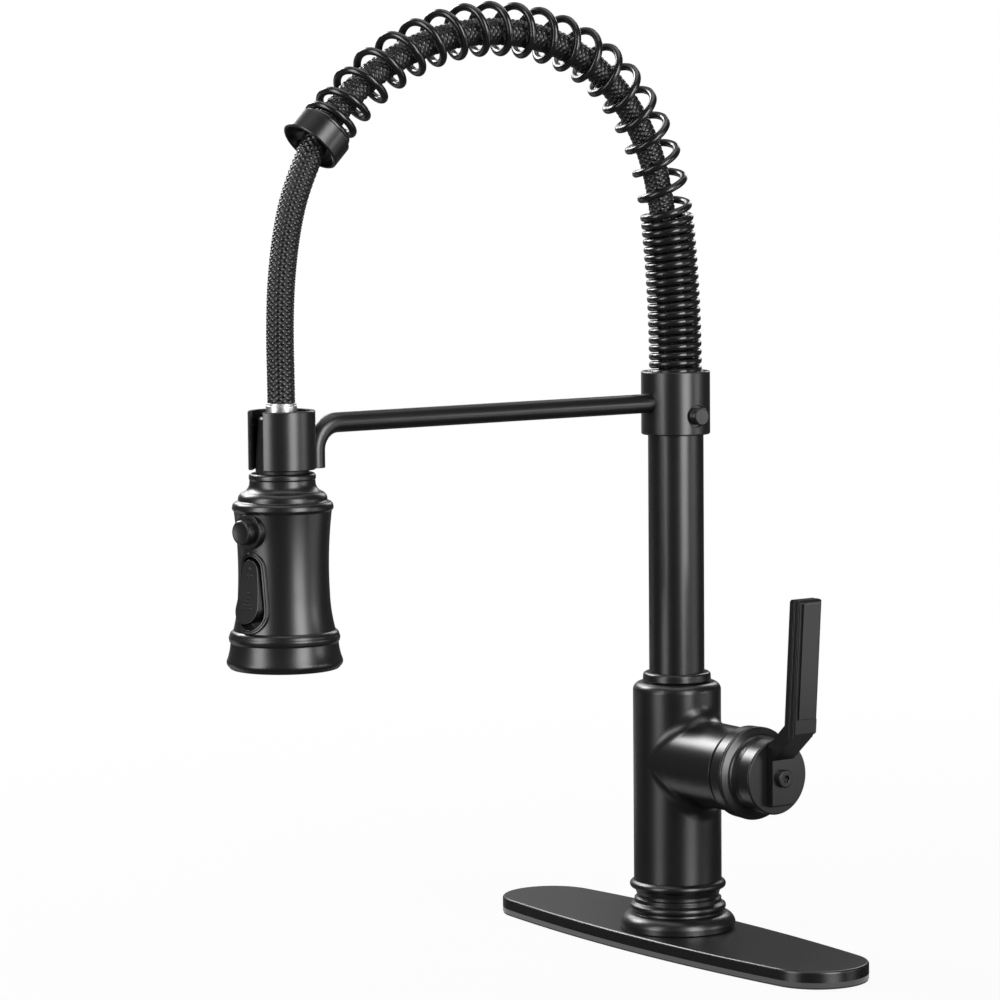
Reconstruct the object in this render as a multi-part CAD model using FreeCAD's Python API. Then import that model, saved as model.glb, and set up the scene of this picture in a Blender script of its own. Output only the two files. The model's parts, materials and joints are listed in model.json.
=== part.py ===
import FreeCAD, Part
import math
import os

# A deck mounted spring faucet with a pull-down spray head. All sizes are in millimetres.
# The origin is on the body's axis, on the face of the deck that the faucet stands on. +Z is up.
# The arm and the spray head point along -Y, towards the user, and the handle is on the +X side.

V = FreeCAD.Vector
X_AXIS = V(1, 0, 0)
Y_AXIS = V(0, 1, 0)
Z_AXIS = V(0, 0, 1)

# Deck plate
PLATE_HALF_LENGTH = 127.0
PLATE_HALF_WIDTH = 31.0
PLATE_SIDE_RADIUS = 864.0
PLATE_END_RADIUS = 24.8
PLATE_TOP = 8.4
PLATE_WALL = 2.0
PLATE_EDGE_ROUND = 1.2
GASKET_HEIGHT = 0.8

# Shank, washers and nut under the deck
SHANK_RADIUS = 16.5
SHANK_BORE = 14.5
SHANK_BOTTOM = -55.0
SHANK_TOP = 22.0
DECK_MAX = 38.0
RUBBER_WASHER = 3.0
STEEL_WASHER = 1.5
NUT_HEIGHT = 10.0
NUT_FLATS = 46.0

# Body
BODY_RADIUS = 21.2
BODY_BOTTOM = 32.0
SHOULDER_START = 123.8
SHOULDER_TOP = 128.3
SHOULDER_RADIUS = 17.0
SPIGOT_RADIUS = 18.3
TOP_RING_RADIUS = 16.4
TOP_RING_TOP = 133.0
RISER_BORE = 14.8
RISER_FLOOR = 110.0
HOSE_CHANNEL = 6.6
INLET_X = 4.6
INLET_Y = 9.4
INLET_TAP_RADIUS = 3.46
INLET_TAP_DEPTH = 12.0
WATERWAY_RADIUS = 2.4
OUTLET_X = 10.6
OUTLET_Y = -3.0

# Side valve, about an axis along X
VALVE_Z = 90.8
BOSS_RADIUS = 20.1
BOSS_FOOT_RADIUS = 20.9
BOSS_TAPER_END = 42.0
BOSS_END = 49.0
BOSS_FILLET = 8.0
CARTRIDGE_BORE = 17.5
CARTRIDGE_FLOOR = 12.0
PIVOT_X = 40.0
DOME_RADIUS = 23.4
DOME_WALL = 1.8
DOME_HOLE = 11.7
HUB_CLEARANCE = 0.4
BONNET_RADIUS = 20.5
BONNET_END = 51.3
ROTOR_RADIUS = 12.0
ROTOR_GAP = 3.6
STEM_HALF = 3.5
TAIL_RADIUS = 2.4
TAIL_REACH = 20.0
MOVING_DISC_RADIUS = 8.4
RUNNING_GAP = 0.05

# Handle
HUB_START = 52.0
HUB_FACE = 75.0
FOOT_FACE = 79.2
LEVER_HALF_WIDTH = 6.35
LEVER_TOP = 176.5
LEVER_LEAN = 3.95

# Riser, collar and dock arm
RISER_RADIUS = 13.3
RISER_INNER = 11.9
RISER_TOP = 262.0
COLLAR_RADIUS = 16.5
COLLAR_BOTTOM = 247.6
COLLAR_TOP = 277.8
COLLAR_CUP = 13.1
SPRING_SEAT_TOP = 266.0
THUMB_SCREW_Z = 256.8
ARM_RADIUS = 4.55
ARM_Z = 262.9
ARM_BEND = 12.0
ARM_LEG_Y = -206.5
ARM_FOOT_Z = 243.1
HOLDER_OUTER = 15.1
HOLDER_INNER = 13.2
HOLDER_BOTTOM = 243.3
HOLDER_TOP = 269.7
HOLDER_SLOT_HALF_ANGLE = 23.5
LINER_INNER = 12.6

# Spring: its centre line is a chain of arcs in the plane X = 0, each a radius and a turn in degrees
SPRING_LINE = [(574.3, 6.89), (168.4, 8.87), (90.6, 56.69), (117.8, 59.03), (402.7, 4.09)]
SPRING_WIRE = 3.55
SPRING_MEAN_RADIUS = 10.9
SPRING_PHASE = 1.75
CLOSE_PITCH = 3.97
OPEN_PITCH = 13.2
OPEN_START = 75.9
OPEN_TURNS = 17.85
CLOSING_TURNS = 1.8
SPRING_END_GAP = 4.6
END_RING_OUTER = 14.2
END_RING_INNER = 13.0
END_RING_LENGTH = 10.6

# Hose: inside the spring it lies towards the inner side of the coil
HOSE_RADIUS = 6.3
HOSE_LINE_SHIFT = 2.5
HOSE_SHIFT_RUN = 60.0
HOSE_LINE = [(594.14, 6.46), (189.57, 7.248), (90.538, 63.255), (123.308, 58.234), (79.87, 16.803)]
HOSE_BOTTOM = -28.0
HOSE_PART_Z = 110.3
CONNECTOR_RADIUS = 6.8
CONNECTOR_BOTTOM = -45.0

# Free hose between the end ring and the ferrule, as (y, z) points in the plane X = 0
FREE_HOSE_START = [(-207.18, 382.93), (-214.5, 369.17)]
FREE_HOSE_POINTS = [(-220.2, 349.0), (-223.5, 326.0), (-224.4, 303.0), (-224.06, 281.0)]

# Spray head, about a vertical axis at X = 0, Y = HEAD_Y
HEAD_Y = -224.06
FERRULE_TOP = 273.0
FERRULE_BOTTOM = 257.0
FERRULE_RADIUS = 6.95
DOCK_BOSS_RADIUS = 11.9
DOCK_BOSS_TOP_RADIUS = 10.3
DOCK_BOSS_TOP = 266.8
FERRULE_POCKET = 7.6
HEAD_BOTTOM = 154.4
SHELL_TOP = 241.9
SHELL_BOTTOM = 171.4
SHELL_WALL = 2.0
CONTROL_ANGLE = 14.0
BUTTON_Z = 217.1
BUTTON_RADIUS = 5.5
BUTTON_FACE = 27.6
BEZEL_RADIUS = 7.6
ROCKER_TOP_Z = 200.6
ROCKER_LOW_Z = 180.6
ROCKER_TOP_RADIUS = 7.1
ROCKER_LOW_RADIUS = 9.0
FRAME_WIDTH = 1.7
PAD_TOP_Z = 200.1
PAD_LOW_Z = 183.0
PAD_TOP_RADIUS = 4.5
PAD_LOW_RADIUS = 6.6
ROCKER_PIN_Z = 191.5
ROCKER_PIN_REACH = 18.4
ROCKER_PIN_RADIUS = 1.0
ROCKER_PIN_HALF = 7.6
NOZZLE_RING = 17.0
NOZZLE_COUNT = 30


def on(z, y=0.0, x=0.0):
    """A point from its height first."""
    return V(x, y, z)


def rod(start, end, radius):
    """A cylinder between two points."""
    return Part.makeCylinder(radius, (end - start).Length, start, end - start)


def disc(radius, low, high, y=0.0, x=0.0):
    """An upright cylinder."""
    return Part.makeCylinder(radius, high - low, V(x, y, low))


def ring(inner, outer, low, high, y=0.0):
    """An upright ring."""
    return disc(outer, low, high, y).cut(disc(inner, low, high, y))


def block(low, high):
    """A box from its lowest to its highest corner."""
    size = high - low
    return Part.makeBox(size.x, size.y, size.z, low)


def face_of(outline):
    """A face in the plane Y = 0 from (radius, height) points. A third entry is the arc's middle point."""
    edges = []
    last = outline[-1]
    for point in outline:
        start = V(last[0], 0, last[1])
        end = V(point[0], 0, point[1])
        if len(point) == 3:
            via = V(point[2][0], 0, point[2][1])
            edges.append(Part.Arc(start, via, end).toShape())
        else:
            edges.append(Part.LineSegment(start, end).toShape())
        last = point
    return Part.Face(Part.Wire(edges))


def spin(outline, y=0.0):
    """A solid of revolution about the upright axis at Y = y."""
    solid = face_of(outline).revolve(V(0, 0, 0), Z_AXIS, 360)
    solid.translate(V(0, y, 0))
    return solid


def spin_x(outline):
    """A solid of revolution about the valve's axis, from (radius, x) points."""
    solid = face_of(outline).revolve(V(0, 0, 0), Z_AXIS, 360)
    solid.rotate(V(0, 0, 0), Y_AXIS, 90)
    solid.translate(on(VALVE_Z))
    return solid


def valve_rod(x0, x1, radius, y=0.0, dz=0.0):
    """A cylinder along the valve's axis, or beside it."""
    return rod(V(x0, y, VALVE_Z + dz), V(x1, y, VALVE_Z + dz), radius)


def join(first, *others):
    """One solid from several that touch."""
    solid = first
    for other in others:
        solid = solid.fuse(other)
    return solid.removeSplitter()


def turned(shape, y=HEAD_Y, angle=CONTROL_ANGLE):
    """A shape made facing -Y, turned about the head's axis to where the controls are."""
    shape.rotate(V(0, y, 0), Z_AXIS, angle)
    return shape


# Deck plate and what is under it
def plate_outline(inset):
    """The boat-shaped outline of the deck plate, moved in by inset: two long arcs and two end arcs."""
    side_centre = PLATE_SIDE_RADIUS - PLATE_HALF_WIDTH
    end_centre = PLATE_HALF_LENGTH - PLATE_END_RADIUS
    side = PLATE_SIDE_RADIUS - inset
    end = PLATE_END_RADIUS - inset
    spread = math.hypot(end_centre, side_centre)
    touch_x = end_centre / spread * side
    touch_y = side_centre / spread * side - side_centre
    corners = [V(-touch_x, touch_y, 0), V(touch_x, touch_y, 0), V(touch_x, -touch_y, 0),
        V(-touch_x, -touch_y, 0)]
    middles = [V(0, side - side_centre, 0), V(end_centre + end, 0, 0), V(0, side_centre - side, 0)]
    middles.append(V(-end_centre - end, 0, 0))
    edges = [Part.Arc(corners[i], middles[i], corners[(i + 1) % 4]).toShape() for i in range(4)]
    return Part.Face(Part.Wire(edges))


def plate_slab(inset, low, high):
    """The deck plate's outline as a slab."""
    slab = plate_outline(inset).extrude(V(0, 0, high - low))
    slab.translate(on(low))
    return slab


def deck_plate():
    outer = plate_slab(0, GASKET_HEIGHT, PLATE_TOP)
    rims = [e for e in outer.Edges if abs(e.CenterOfMass.z - PLATE_TOP) < 0.01 and e.Length > 5]
    outer = outer.makeFillet(PLATE_EDGE_ROUND, rims)
    hollow = plate_slab(PLATE_WALL, GASKET_HEIGHT, PLATE_TOP - PLATE_WALL)
    return outer.cut(hollow).cut(disc(SHANK_RADIUS + 0.3, 0, PLATE_TOP))


def deck_gasket():
    return plate_slab(0.3, 0, GASKET_HEIGHT).cut(plate_slab(1.7, 0, GASKET_HEIGHT))


def deck_base():
    """The plastic insert that stiffens the plate, with pockets between its ribs."""
    low = 0.4
    high = PLATE_TOP - PLATE_WALL
    base = plate_slab(PLATE_WALL + 0.2, low, high)
    for side in (-1, 1):
        for start, end in ((30.0, 60.0), (63.0, 93.0)):
            for half in (-1, 1):
                corner = V(min(side * start, side * end), min(half * 1.5, half * 19.0), low + 1.8)
                base = base.cut(block(corner, corner + V(end - start, 17.5, high - low)))
    return base.cut(disc(SHANK_RADIUS + 0.4, low, high))


def shank():
    return ring(SHANK_BORE, SHANK_RADIUS, SHANK_BOTTOM, SHANK_TOP)


def rubber_washer():
    return ring(SHANK_RADIUS + 0.3, 28.0, -DECK_MAX - RUBBER_WASHER, -DECK_MAX)


def steel_washer():
    top = -DECK_MAX - RUBBER_WASHER
    return ring(SHANK_RADIUS + 0.2, 27.0, top - STEEL_WASHER, top)


def mounting_nut():
    top = -DECK_MAX - RUBBER_WASHER - STEEL_WASHER
    corner = NUT_FLATS / math.sqrt(3)
    points = [V(corner * math.cos(math.radians(60 * i)), corner * math.sin(math.radians(60 * i)),
        0) for i in range(7)]
    nut = Part.Face(Part.makePolygon(points)).extrude(V(0, 0, NUT_HEIGHT))
    nut.translate(on(top - NUT_HEIGHT))
    bevel = spin([(0, top - NUT_HEIGHT), (24.0, top - NUT_HEIGHT), (27.0, top - NUT_HEIGHT + 2),
        (27.0, top), (0, top)])
    return nut.common(bevel).cut(disc(SHANK_RADIUS, top - NUT_HEIGHT, top))


# Body
def base_flange():
    """The stepped foot of the body: a flange, a cone, a bead, a neck and a top bead."""
    inner = SPIGOT_RADIUS
    foot = spin([
        (inner, PLATE_TOP), (27.4, PLATE_TOP), (27.8, PLATE_TOP + 0.4), (27.8, 11.4),
        (22.4, 16.2, (26.4, 14.2)), (22.0, 17.1), (22.9, 18.0), (22.9, 20.2, (23.2, 19.1)), (21.0, 21.4),
        (21.0, 23.2), (19.9, 24.0), (19.9, 25.2), (20.7, 27.4), (22.4, 28.3), (22.4, 31.4, (23.2, 29.9)),
        (21.6, BODY_BOTTOM), (inner, BODY_BOTTOM),
    ])
    return foot.cut(ring(19.9, 26.1, PLATE_TOP, PLATE_TOP + 1.2))


def base_seal():
    return ring(20.0, 26.0, PLATE_TOP, PLATE_TOP + 1.2)


def boss_seams(body):
    """The two edges where the boss meets the column."""
    seams = []
    for edge in body.Edges:
        box = edge.BoundBox
        if box.XMin > 3 and box.XMax < 22 and box.YLength > 5 and box.ZLength > 5:
            seams.append(edge)
    return seams


def valve_body():
    """The body with its side boss, bored for the cartridge, the riser, the hose and the waterways."""
    spigot_low = PLATE_TOP + 1.2
    shoulder_via = (20.2, 126.9)
    column = spin([
        (0, spigot_low), (SPIGOT_RADIUS, spigot_low), (SPIGOT_RADIUS, BODY_BOTTOM),
        (BODY_RADIUS, BODY_BOTTOM),
        (BODY_RADIUS, SHOULDER_START), (SHOULDER_RADIUS, SHOULDER_TOP, shoulder_via), (0, SHOULDER_TOP),
    ])
    boss = spin_x([
        (0, 0), (BOSS_FOOT_RADIUS, 0), (BOSS_RADIUS, BOSS_TAPER_END),
        (BOSS_RADIUS, BOSS_END - 0.4), (BOSS_RADIUS - 0.4, BOSS_END), (0, BOSS_END),
    ])
    body = join(column, boss)
    body = body.makeFillet(BOSS_FILLET, boss_seams(body))
    body = body.cut(disc(SHANK_RADIUS, spigot_low, SHANK_TOP))
    body = body.cut(disc(HOSE_CHANNEL, SHANK_TOP, RISER_FLOOR))
    body = body.cut(disc(RISER_BORE, RISER_FLOOR, SHOULDER_TOP))
    body = body.cut(valve_rod(CARTRIDGE_FLOOR, BOSS_END, CARTRIDGE_BORE))
    for side, height in ((1, VALVE_Z - 6.8), (-1, VALVE_Z + 6.7)):
        x = side * INLET_X
        tap_top = SHANK_TOP + INLET_TAP_DEPTH
        body = body.cut(disc(INLET_TAP_RADIUS, SHANK_TOP, tap_top, INLET_Y, x))
        body = body.cut(disc(WATERWAY_RADIUS, tap_top, height, INLET_Y, x))
        body = body.cut(rod(V(x, INLET_Y, height), V(CARTRIDGE_FLOOR, INLET_Y, height), WATERWAY_RADIUS))
    return body.cut(disc(WATERWAY_RADIUS, SHANK_TOP, VALVE_Z - 9, OUTLET_Y, OUTLET_X))


def body_top_ring():
    inner = RISER_RADIUS + RUNNING_GAP
    outer = TOP_RING_RADIUS
    return spin([
        (inner, SHOULDER_TOP), (outer - 0.6, SHOULDER_TOP), (outer, SHOULDER_TOP + 0.8),
        (outer - 0.1, TOP_RING_TOP - 1.6), (outer - 1.6, TOP_RING_TOP, (outer - 0.5, TOP_RING_TOP - 0.5)),
        (inner, TOP_RING_TOP),
    ])


def swivel_bush():
    return ring(RISER_RADIUS + RUNNING_GAP, RISER_BORE, RISER_FLOOR + 2.5, SHOULDER_TOP)


# Cartridge
def cartridge_housing():
    chamber = 15.5
    body = spin_x([
        (0, CARTRIDGE_FLOOR), (17.3, CARTRIDGE_FLOOR), (17.3, 36.0), (ROTOR_RADIUS + RUNNING_GAP, 36.0),
        (ROTOR_RADIUS + RUNNING_GAP, 22.0), (chamber, 22.0), (chamber, 13.2), (0, 13.2),
    ])
    return cut_ports(body, CARTRIDGE_FLOOR, 13.2)


def cut_ports(body, x0, x1):
    """Cut the hot, cold and mixed water ports through a disc or a floor."""
    for dz, y in ((-6.8, INLET_Y), (6.7, INLET_Y), (-11.6, OUTLET_Y)):
        body = body.cut(valve_rod(x0, x1, WATERWAY_RADIUS, y, dz))
    return body


def cartridge_seat_disc():
    return cut_ports(valve_rod(13.2, 16.6, 15.5), 13.2, 16.6)


def cartridge_disc():
    """The moving ceramic disc, with the pocket that the stem's tail sits in."""
    return valve_rod(16.7, 20.6, MOVING_DISC_RADIUS).cut(valve_rod(17.5, 20.6, TAIL_RADIUS + 0.35))


def cartridge_rotor():
    """The fork that turns with the handle. The stem tilts between its cheeks."""
    rotor = valve_rod(22.2, 44.0, ROTOR_RADIUS)
    gap = block(V(26.0, -ROTOR_GAP, VALVE_Z - 13), V(44.0, ROTOR_GAP, VALVE_Z + 13))
    way = block(V(22.2, -ROTOR_GAP, VALVE_Z - 10), V(26.0, ROTOR_GAP, VALVE_Z + 10))
    pin = rod(V(PIVOT_X, -13, VALVE_Z), V(PIVOT_X, 13, VALVE_Z), 1.5)
    return rotor.cut(gap).cut(way).cut(pin)


def pivot_pin():
    return rod(V(PIVOT_X, -11, VALVE_Z), V(PIVOT_X, 11, VALVE_Z), 1.5)


def cartridge_nut():
    nut = spin_x([(ROTOR_RADIUS + 0.3, 36.0), (CARTRIDGE_BORE, 36.0), (CARTRIDGE_BORE, 43.0),
        (ROTOR_RADIUS + 0.3, 43.0)])
    for i in range(4):
        notch = block(V(41.0, ROTOR_RADIUS + 2.0, VALVE_Z - 2), V(43.0, CARTRIDGE_BORE + 1, VALVE_Z + 2))
        notch.rotate(on(VALVE_Z), X_AXIS, 90 * i)
        nut = nut.cut(notch)
    return nut


def sphere_x(radius, r):
    """The x on the dome's side of a sphere about the pivot, at a distance r from the valve's axis."""
    return PIVOT_X + math.sqrt(radius * radius - r * r)


def sphere_r(radius, x):
    """The distance from the valve's axis, on a sphere about the pivot, at x."""
    return math.sqrt(radius * radius - (x - PIVOT_X) ** 2)


def bonnet():
    """The ring that closes the boss behind a groove, with a domed nose that the handle's skirt tilts over."""
    groove = 19.3
    inner = DOME_RADIUS - DOME_WALL
    skirt = 15.9
    flange = 50.6
    middle = 56.5
    return spin_x([
        (skirt, 43.4), (CARTRIDGE_BORE - 0.05, 43.4), (CARTRIDGE_BORE - 0.05, BOSS_END + 0.2),
        (groove, BOSS_END + 0.2), (groove, BOSS_END + 1.2), (BONNET_RADIUS, BOSS_END + 1.4),
        (BONNET_RADIUS, BONNET_END),
        (sphere_r(DOME_RADIUS, BONNET_END), BONNET_END),
        (DOME_HOLE, sphere_x(DOME_RADIUS, DOME_HOLE), (sphere_r(DOME_RADIUS, middle), middle)),
        (DOME_HOLE, sphere_x(inner, DOME_HOLE)),
        (sphere_r(inner, flange), flange, (sphere_r(inner, 55.0), 55.0)), (skirt, flange),
    ])


# Handle
def handle_hub():
    """A wide plain skirt with a lip, a face that slopes in to a narrow neck, and the rim at the lever."""
    inner = DOME_RADIUS + HUB_CLEARANCE
    rim = sphere_r(inner, HUB_START)
    hub = spin_x([
        (21.5, HUB_START), (21.8, HUB_START + 0.3), (22.0, 58.4), (21.5, 58.8), (22.1, 59.2),
        (21.4, 60.4, (21.95, 59.95)), (18.9, 61.4), (17.8, 62.9, (18.15, 62.05)),
        (17.4, 66.2), (17.7, 67.0), (17.7, 74.4), (17.1, HUB_FACE), (0, HUB_FACE),
        (0, PIVOT_X + inner), (rim, HUB_START, (inner * math.sin(math.radians(30)),
        PIVOT_X + inner * math.cos(math.radians(30)))),
    ])
    hub = hub.cut(stem_bar(72.0))
    return hub.cut(valve_rod(72.0, HUB_FACE, 2.0))


def stem_bar(end):
    return block(V(33.0, -STEM_HALF, VALVE_Z - STEM_HALF), V(end, STEM_HALF, VALVE_Z + STEM_HALF))


def cartridge_stem():
    """The metal stem: a square bar, a pivot hole and a round tail with a ball end."""
    bar = stem_bar(72.0)
    tail = valve_rod(PIVOT_X - TAIL_REACH, 33.5, TAIL_RADIUS)
    ball = Part.makeSphere(TAIL_RADIUS, V(PIVOT_X - TAIL_REACH, 0, VALVE_Z))
    stem = join(bar, tail, ball)
    stem = stem.cut(rod(V(PIVOT_X, -5, VALVE_Z), V(PIVOT_X, 5, VALVE_Z), 1.5 + RUNNING_GAP))
    return stem.cut(valve_rod(66.0, 72.0, 2.0))


def lean(z, base=113.9):
    """How far the grip has leaned out at a height."""
    return math.tan(math.radians(LEVER_LEAN)) * (z - base)


def lever_profile():
    outer = 95.4
    thick = 7.8
    points = [
        (HUB_FACE, 77.6), (FOOT_FACE - 0.8, 77.6), (FOOT_FACE, 78.4), (FOOT_FACE, 99.6), (outer, 113.9),
        (outer + lean(LEVER_TOP - 1), LEVER_TOP - 1), (outer + lean(LEVER_TOP) - 1, LEVER_TOP),
        (outer - thick + lean(LEVER_TOP) + 1, LEVER_TOP), (outer - thick + lean(LEVER_TOP - 1),
        LEVER_TOP - 1),
        (outer - thick + lean(117.4), 117.4), (HUB_FACE, 105.4),
    ]
    return [V(x, -LEVER_HALF_WIDTH, z) for x, z in points]


def lever_arm():
    """The bent flat lever, with two flutes along each side of the grip."""
    points = lever_profile()
    arm = Part.Face(Part.makePolygon(points + points[:1])).extrude(V(0, 2 * LEVER_HALF_WIDTH, 0))
    foot = V(95.4, 0, 113.9)
    head = foot + V(lean(LEVER_TOP), 0, LEVER_TOP - 113.9)
    along = (head - foot) * 0.05
    for side in (-1, 1):
        for depth in (4.3, 1.4):
            shift = V(-depth, side * (LEVER_HALF_WIDTH + 0.25), 0)
            arm = arm.cut(rod(foot + shift - along, head + shift + along, 0.8))
        corner = V(0.35, side * (LEVER_HALF_WIDTH - 0.2), 0)
        arm = arm.cut(rod(foot + corner + along * 2, head + corner + along, 0.7))
    return arm.cut(valve_rod(HUB_FACE, FOOT_FACE, 2.1))


def lever_inlay():
    """The raised panel on the outer face of the grip."""
    half = 4.9
    low = 120.5
    high = LEVER_TOP - 1.4
    thick = 0.7
    outer = 95.4
    points = [
        V(outer + lean(low), -half, low), V(outer + thick + lean(low), -half, low + 0.3),
        V(outer + thick + lean(high), -half, high - 0.3), V(outer + lean(high), -half, high),
    ]
    return Part.Face(Part.makePolygon(points + points[:1])).extrude(V(0, 2 * half, 0))


def lever_screw():
    head = valve_rod(FOOT_FACE, FOOT_FACE + 2.4, 4.25)
    head = head.makeChamfer(0.5, [e for e in head.Edges if abs(e.CenterOfMass.x - FOOT_FACE - 2.4) < 0.01])
    corner = 1.9
    points = [V(FOOT_FACE + 0.9, corner * math.cos(math.radians(60 * i)),
        VALVE_Z + corner * math.sin(math.radians(60 * i))) for i in range(7)]
    socket = Part.Face(Part.makePolygon(points)).extrude(V(1.5, 0, 0))
    return join(head, valve_rod(67.0, FOOT_FACE, 2.0)).cut(socket)


# Riser, collar and dock
def riser_tube():
    tube = ring(RISER_INNER, RISER_RADIUS, RISER_FLOOR + 0.4, RISER_TOP)
    for z in SEAL_HEIGHTS:
        tube = tube.cut(ring(RISER_RADIUS - 0.8, RISER_RADIUS + 1, z, z + 2.2))
    return tube


SEAL_HEIGHTS = (115.5, 121.5)


def riser_seals():
    return Part.makeCompound([ring(RISER_RADIUS - 0.8, RISER_RADIUS, z, z + 2.2) for z in SEAL_HEIGHTS])


def riser_clip():
    """The split ring that keeps the riser from lifting out of the bush."""
    clip = ring(RISER_RADIUS, RISER_BORE - 0.3, RISER_FLOOR + 0.7, RISER_FLOOR + 2.2)
    return clip.cut(block(V(-3, -16, RISER_FLOOR), V(3, 0, RISER_FLOOR + 3)))


def collar():
    """The collar that clamps to the riser. Its cup holds the foot of the spring."""
    edge = 0.5
    body = spin([
        (RISER_RADIUS, COLLAR_BOTTOM), (COLLAR_RADIUS - edge, COLLAR_BOTTOM),
        (COLLAR_RADIUS, COLLAR_BOTTOM + edge),
        (COLLAR_RADIUS, COLLAR_TOP - edge), (COLLAR_RADIUS - edge, COLLAR_TOP),
        (COLLAR_CUP + edge, COLLAR_TOP),
        (COLLAR_CUP, COLLAR_TOP - edge), (COLLAR_CUP, RISER_TOP), (RISER_RADIUS, RISER_TOP),
    ])
    body = body.cut(arm_rod())
    body = body.cut(rod(on(THUMB_SCREW_Z), V(20, 0, THUMB_SCREW_Z), 2.2 + RUNNING_GAP))
    return body.cut(rod(V(15.4, 0, THUMB_SCREW_Z), V(20, 0, THUMB_SCREW_Z), 5.2))


def spring_seat():
    return ring(9.2, COLLAR_CUP, RISER_TOP, SPRING_SEAT_TOP)


def thumb_screw():
    """The finger screw that locks the collar, with grip grooves round its head."""
    radius = 4.1
    head = rod(V(15.7, 0, THUMB_SCREW_Z), V(20.5, 0, THUMB_SCREW_Z), radius)
    head = head.makeChamfer(0.4, [e for e in head.Edges if abs(e.CenterOfMass.x - 20.5) < 0.01])
    for x in (16.6, 17.6, 18.6, 19.5):
        head = head.cut(Part.makeTorus(radius + 0.05, 0.3, V(x, 0, THUMB_SCREW_Z), X_AXIS))
    return join(head, rod(V(RISER_RADIUS, 0, THUMB_SCREW_Z), V(16, 0, THUMB_SCREW_Z), 2.2))


def arm_rod():
    """The bent rod from the collar to the back of the holder."""
    start = on(ARM_Z, -RISER_RADIUS - 0.3)
    turn = on(ARM_Z, ARM_LEG_Y + ARM_BEND)
    leg = on(ARM_Z - ARM_BEND, ARM_LEG_Y)
    slant = ARM_BEND * (1 - math.sqrt(0.5))
    via = on(ARM_Z - slant, ARM_LEG_Y + slant)
    path = Part.Wire([
        Part.LineSegment(start, turn).toShape(), Part.Arc(turn, via, leg).toShape(),
        Part.LineSegment(leg, on(ARM_FOOT_Z, ARM_LEG_Y)).toShape(),
    ])
    profile = Part.Wire(Part.Circle(start, V(0, -1, 0), ARM_RADIUS).toShape())
    return path.makePipeShell([profile], True, False)


def dock_arm():
    return arm_rod().cut(disc(HOLDER_OUTER, HOLDER_BOTTOM - 5, HOLDER_TOP + 5, HEAD_Y))


def slot_wedge(reach, half_angle, low, high):
    """A wedge that opens a ring on its -Y side."""
    a = math.radians(half_angle)
    tip = V(0, HEAD_Y, low)
    left = tip + V(-reach * math.sin(a), -reach * math.cos(a), 0)
    right = tip + V(reach * math.sin(a), -reach * math.cos(a), 0)
    return Part.Face(Part.makePolygon([tip, left, right, tip])).extrude(V(0, 0, high - low))


def dock_holder():
    """The open clip that the spray head hangs in."""
    edge = 0.4
    clip = spin([
        (HOLDER_INNER, HOLDER_BOTTOM), (HOLDER_OUTER - edge, HOLDER_BOTTOM),
        (HOLDER_OUTER, HOLDER_BOTTOM + edge),
        (HOLDER_OUTER, HOLDER_TOP - edge), (HOLDER_OUTER - edge, HOLDER_TOP), (HOLDER_INNER, HOLDER_TOP),
    ], HEAD_Y)
    return clip.cut(slot_wedge(40, HOLDER_SLOT_HALF_ANGLE, HOLDER_BOTTOM - 1, HOLDER_TOP + 1))


def dock_liner():
    liner = ring(LINER_INNER, HOLDER_INNER, HOLDER_BOTTOM + 0.3, HOLDER_BOTTOM + 20.0, HEAD_Y)
    return liner.cut(slot_wedge(40, HOLDER_SLOT_HALF_ANGLE + 2, HOLDER_BOTTOM - 1, HOLDER_TOP + 1))


# Spring, hose and end ring
def line_points(line, y, z, first_turn=0.0):
    """Walk a chain of tangent arcs that starts upwards, and give each arc's start, centre and angles."""
    angle = first_turn
    pieces = []
    for radius, turn in line:
        turn = math.radians(turn)
        centre_y = y - radius * math.cos(angle)
        centre_z = z - radius * math.sin(angle)
        pieces.append((centre_y, centre_z, radius, angle, angle + turn))
        angle += turn
        y = centre_y + radius * math.cos(angle)
        z = centre_z + radius * math.sin(angle)
    return pieces


def arc_point(piece, angle):
    centre_y, centre_z, radius = piece[:3]
    return on(centre_z + radius * math.sin(angle), centre_y + radius * math.cos(angle))


def arc_edges(pieces):
    edges = []
    for piece in pieces:
        start, end = piece[3:]
        middle = (start + end) / 2
        edges.append(Part.Arc(arc_point(piece, start), arc_point(piece, middle),
            arc_point(piece, end)).toShape())
    return edges


SPRING_PIECES = line_points(SPRING_LINE, 0, COLLAR_TOP)
SPRING_LENGTH = sum(radius * math.radians(turn) for radius, turn in SPRING_LINE)


def on_spring_line(s):
    """The point and the direction angle at a distance s along the spring's centre line above the collar."""
    if s <= 0:
        return on(COLLAR_TOP + s), 0.0
    piece = SPRING_PIECES[0]
    for following in SPRING_PIECES[1:]:
        length = piece[2] * (piece[4] - piece[3])
        if s <= length:
            break
        s -= length
        piece = following
    angle = piece[3] + s / piece[2]
    return arc_point(piece, angle), angle


def pitch_at(turn, open_turn, close_turn):
    """The spring's pitch after a number of turns: close wound, open over the arch, close again at its end."""
    opening = min(max(turn - open_turn + 0.5, 0), 1)
    closing = min(max((turn - close_turn) / CLOSING_TURNS, 0), 1)
    grown = CLOSE_PITCH + (OPEN_PITCH - CLOSE_PITCH) * opening
    return grown + (CLOSE_PITCH - grown) * closing


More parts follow.
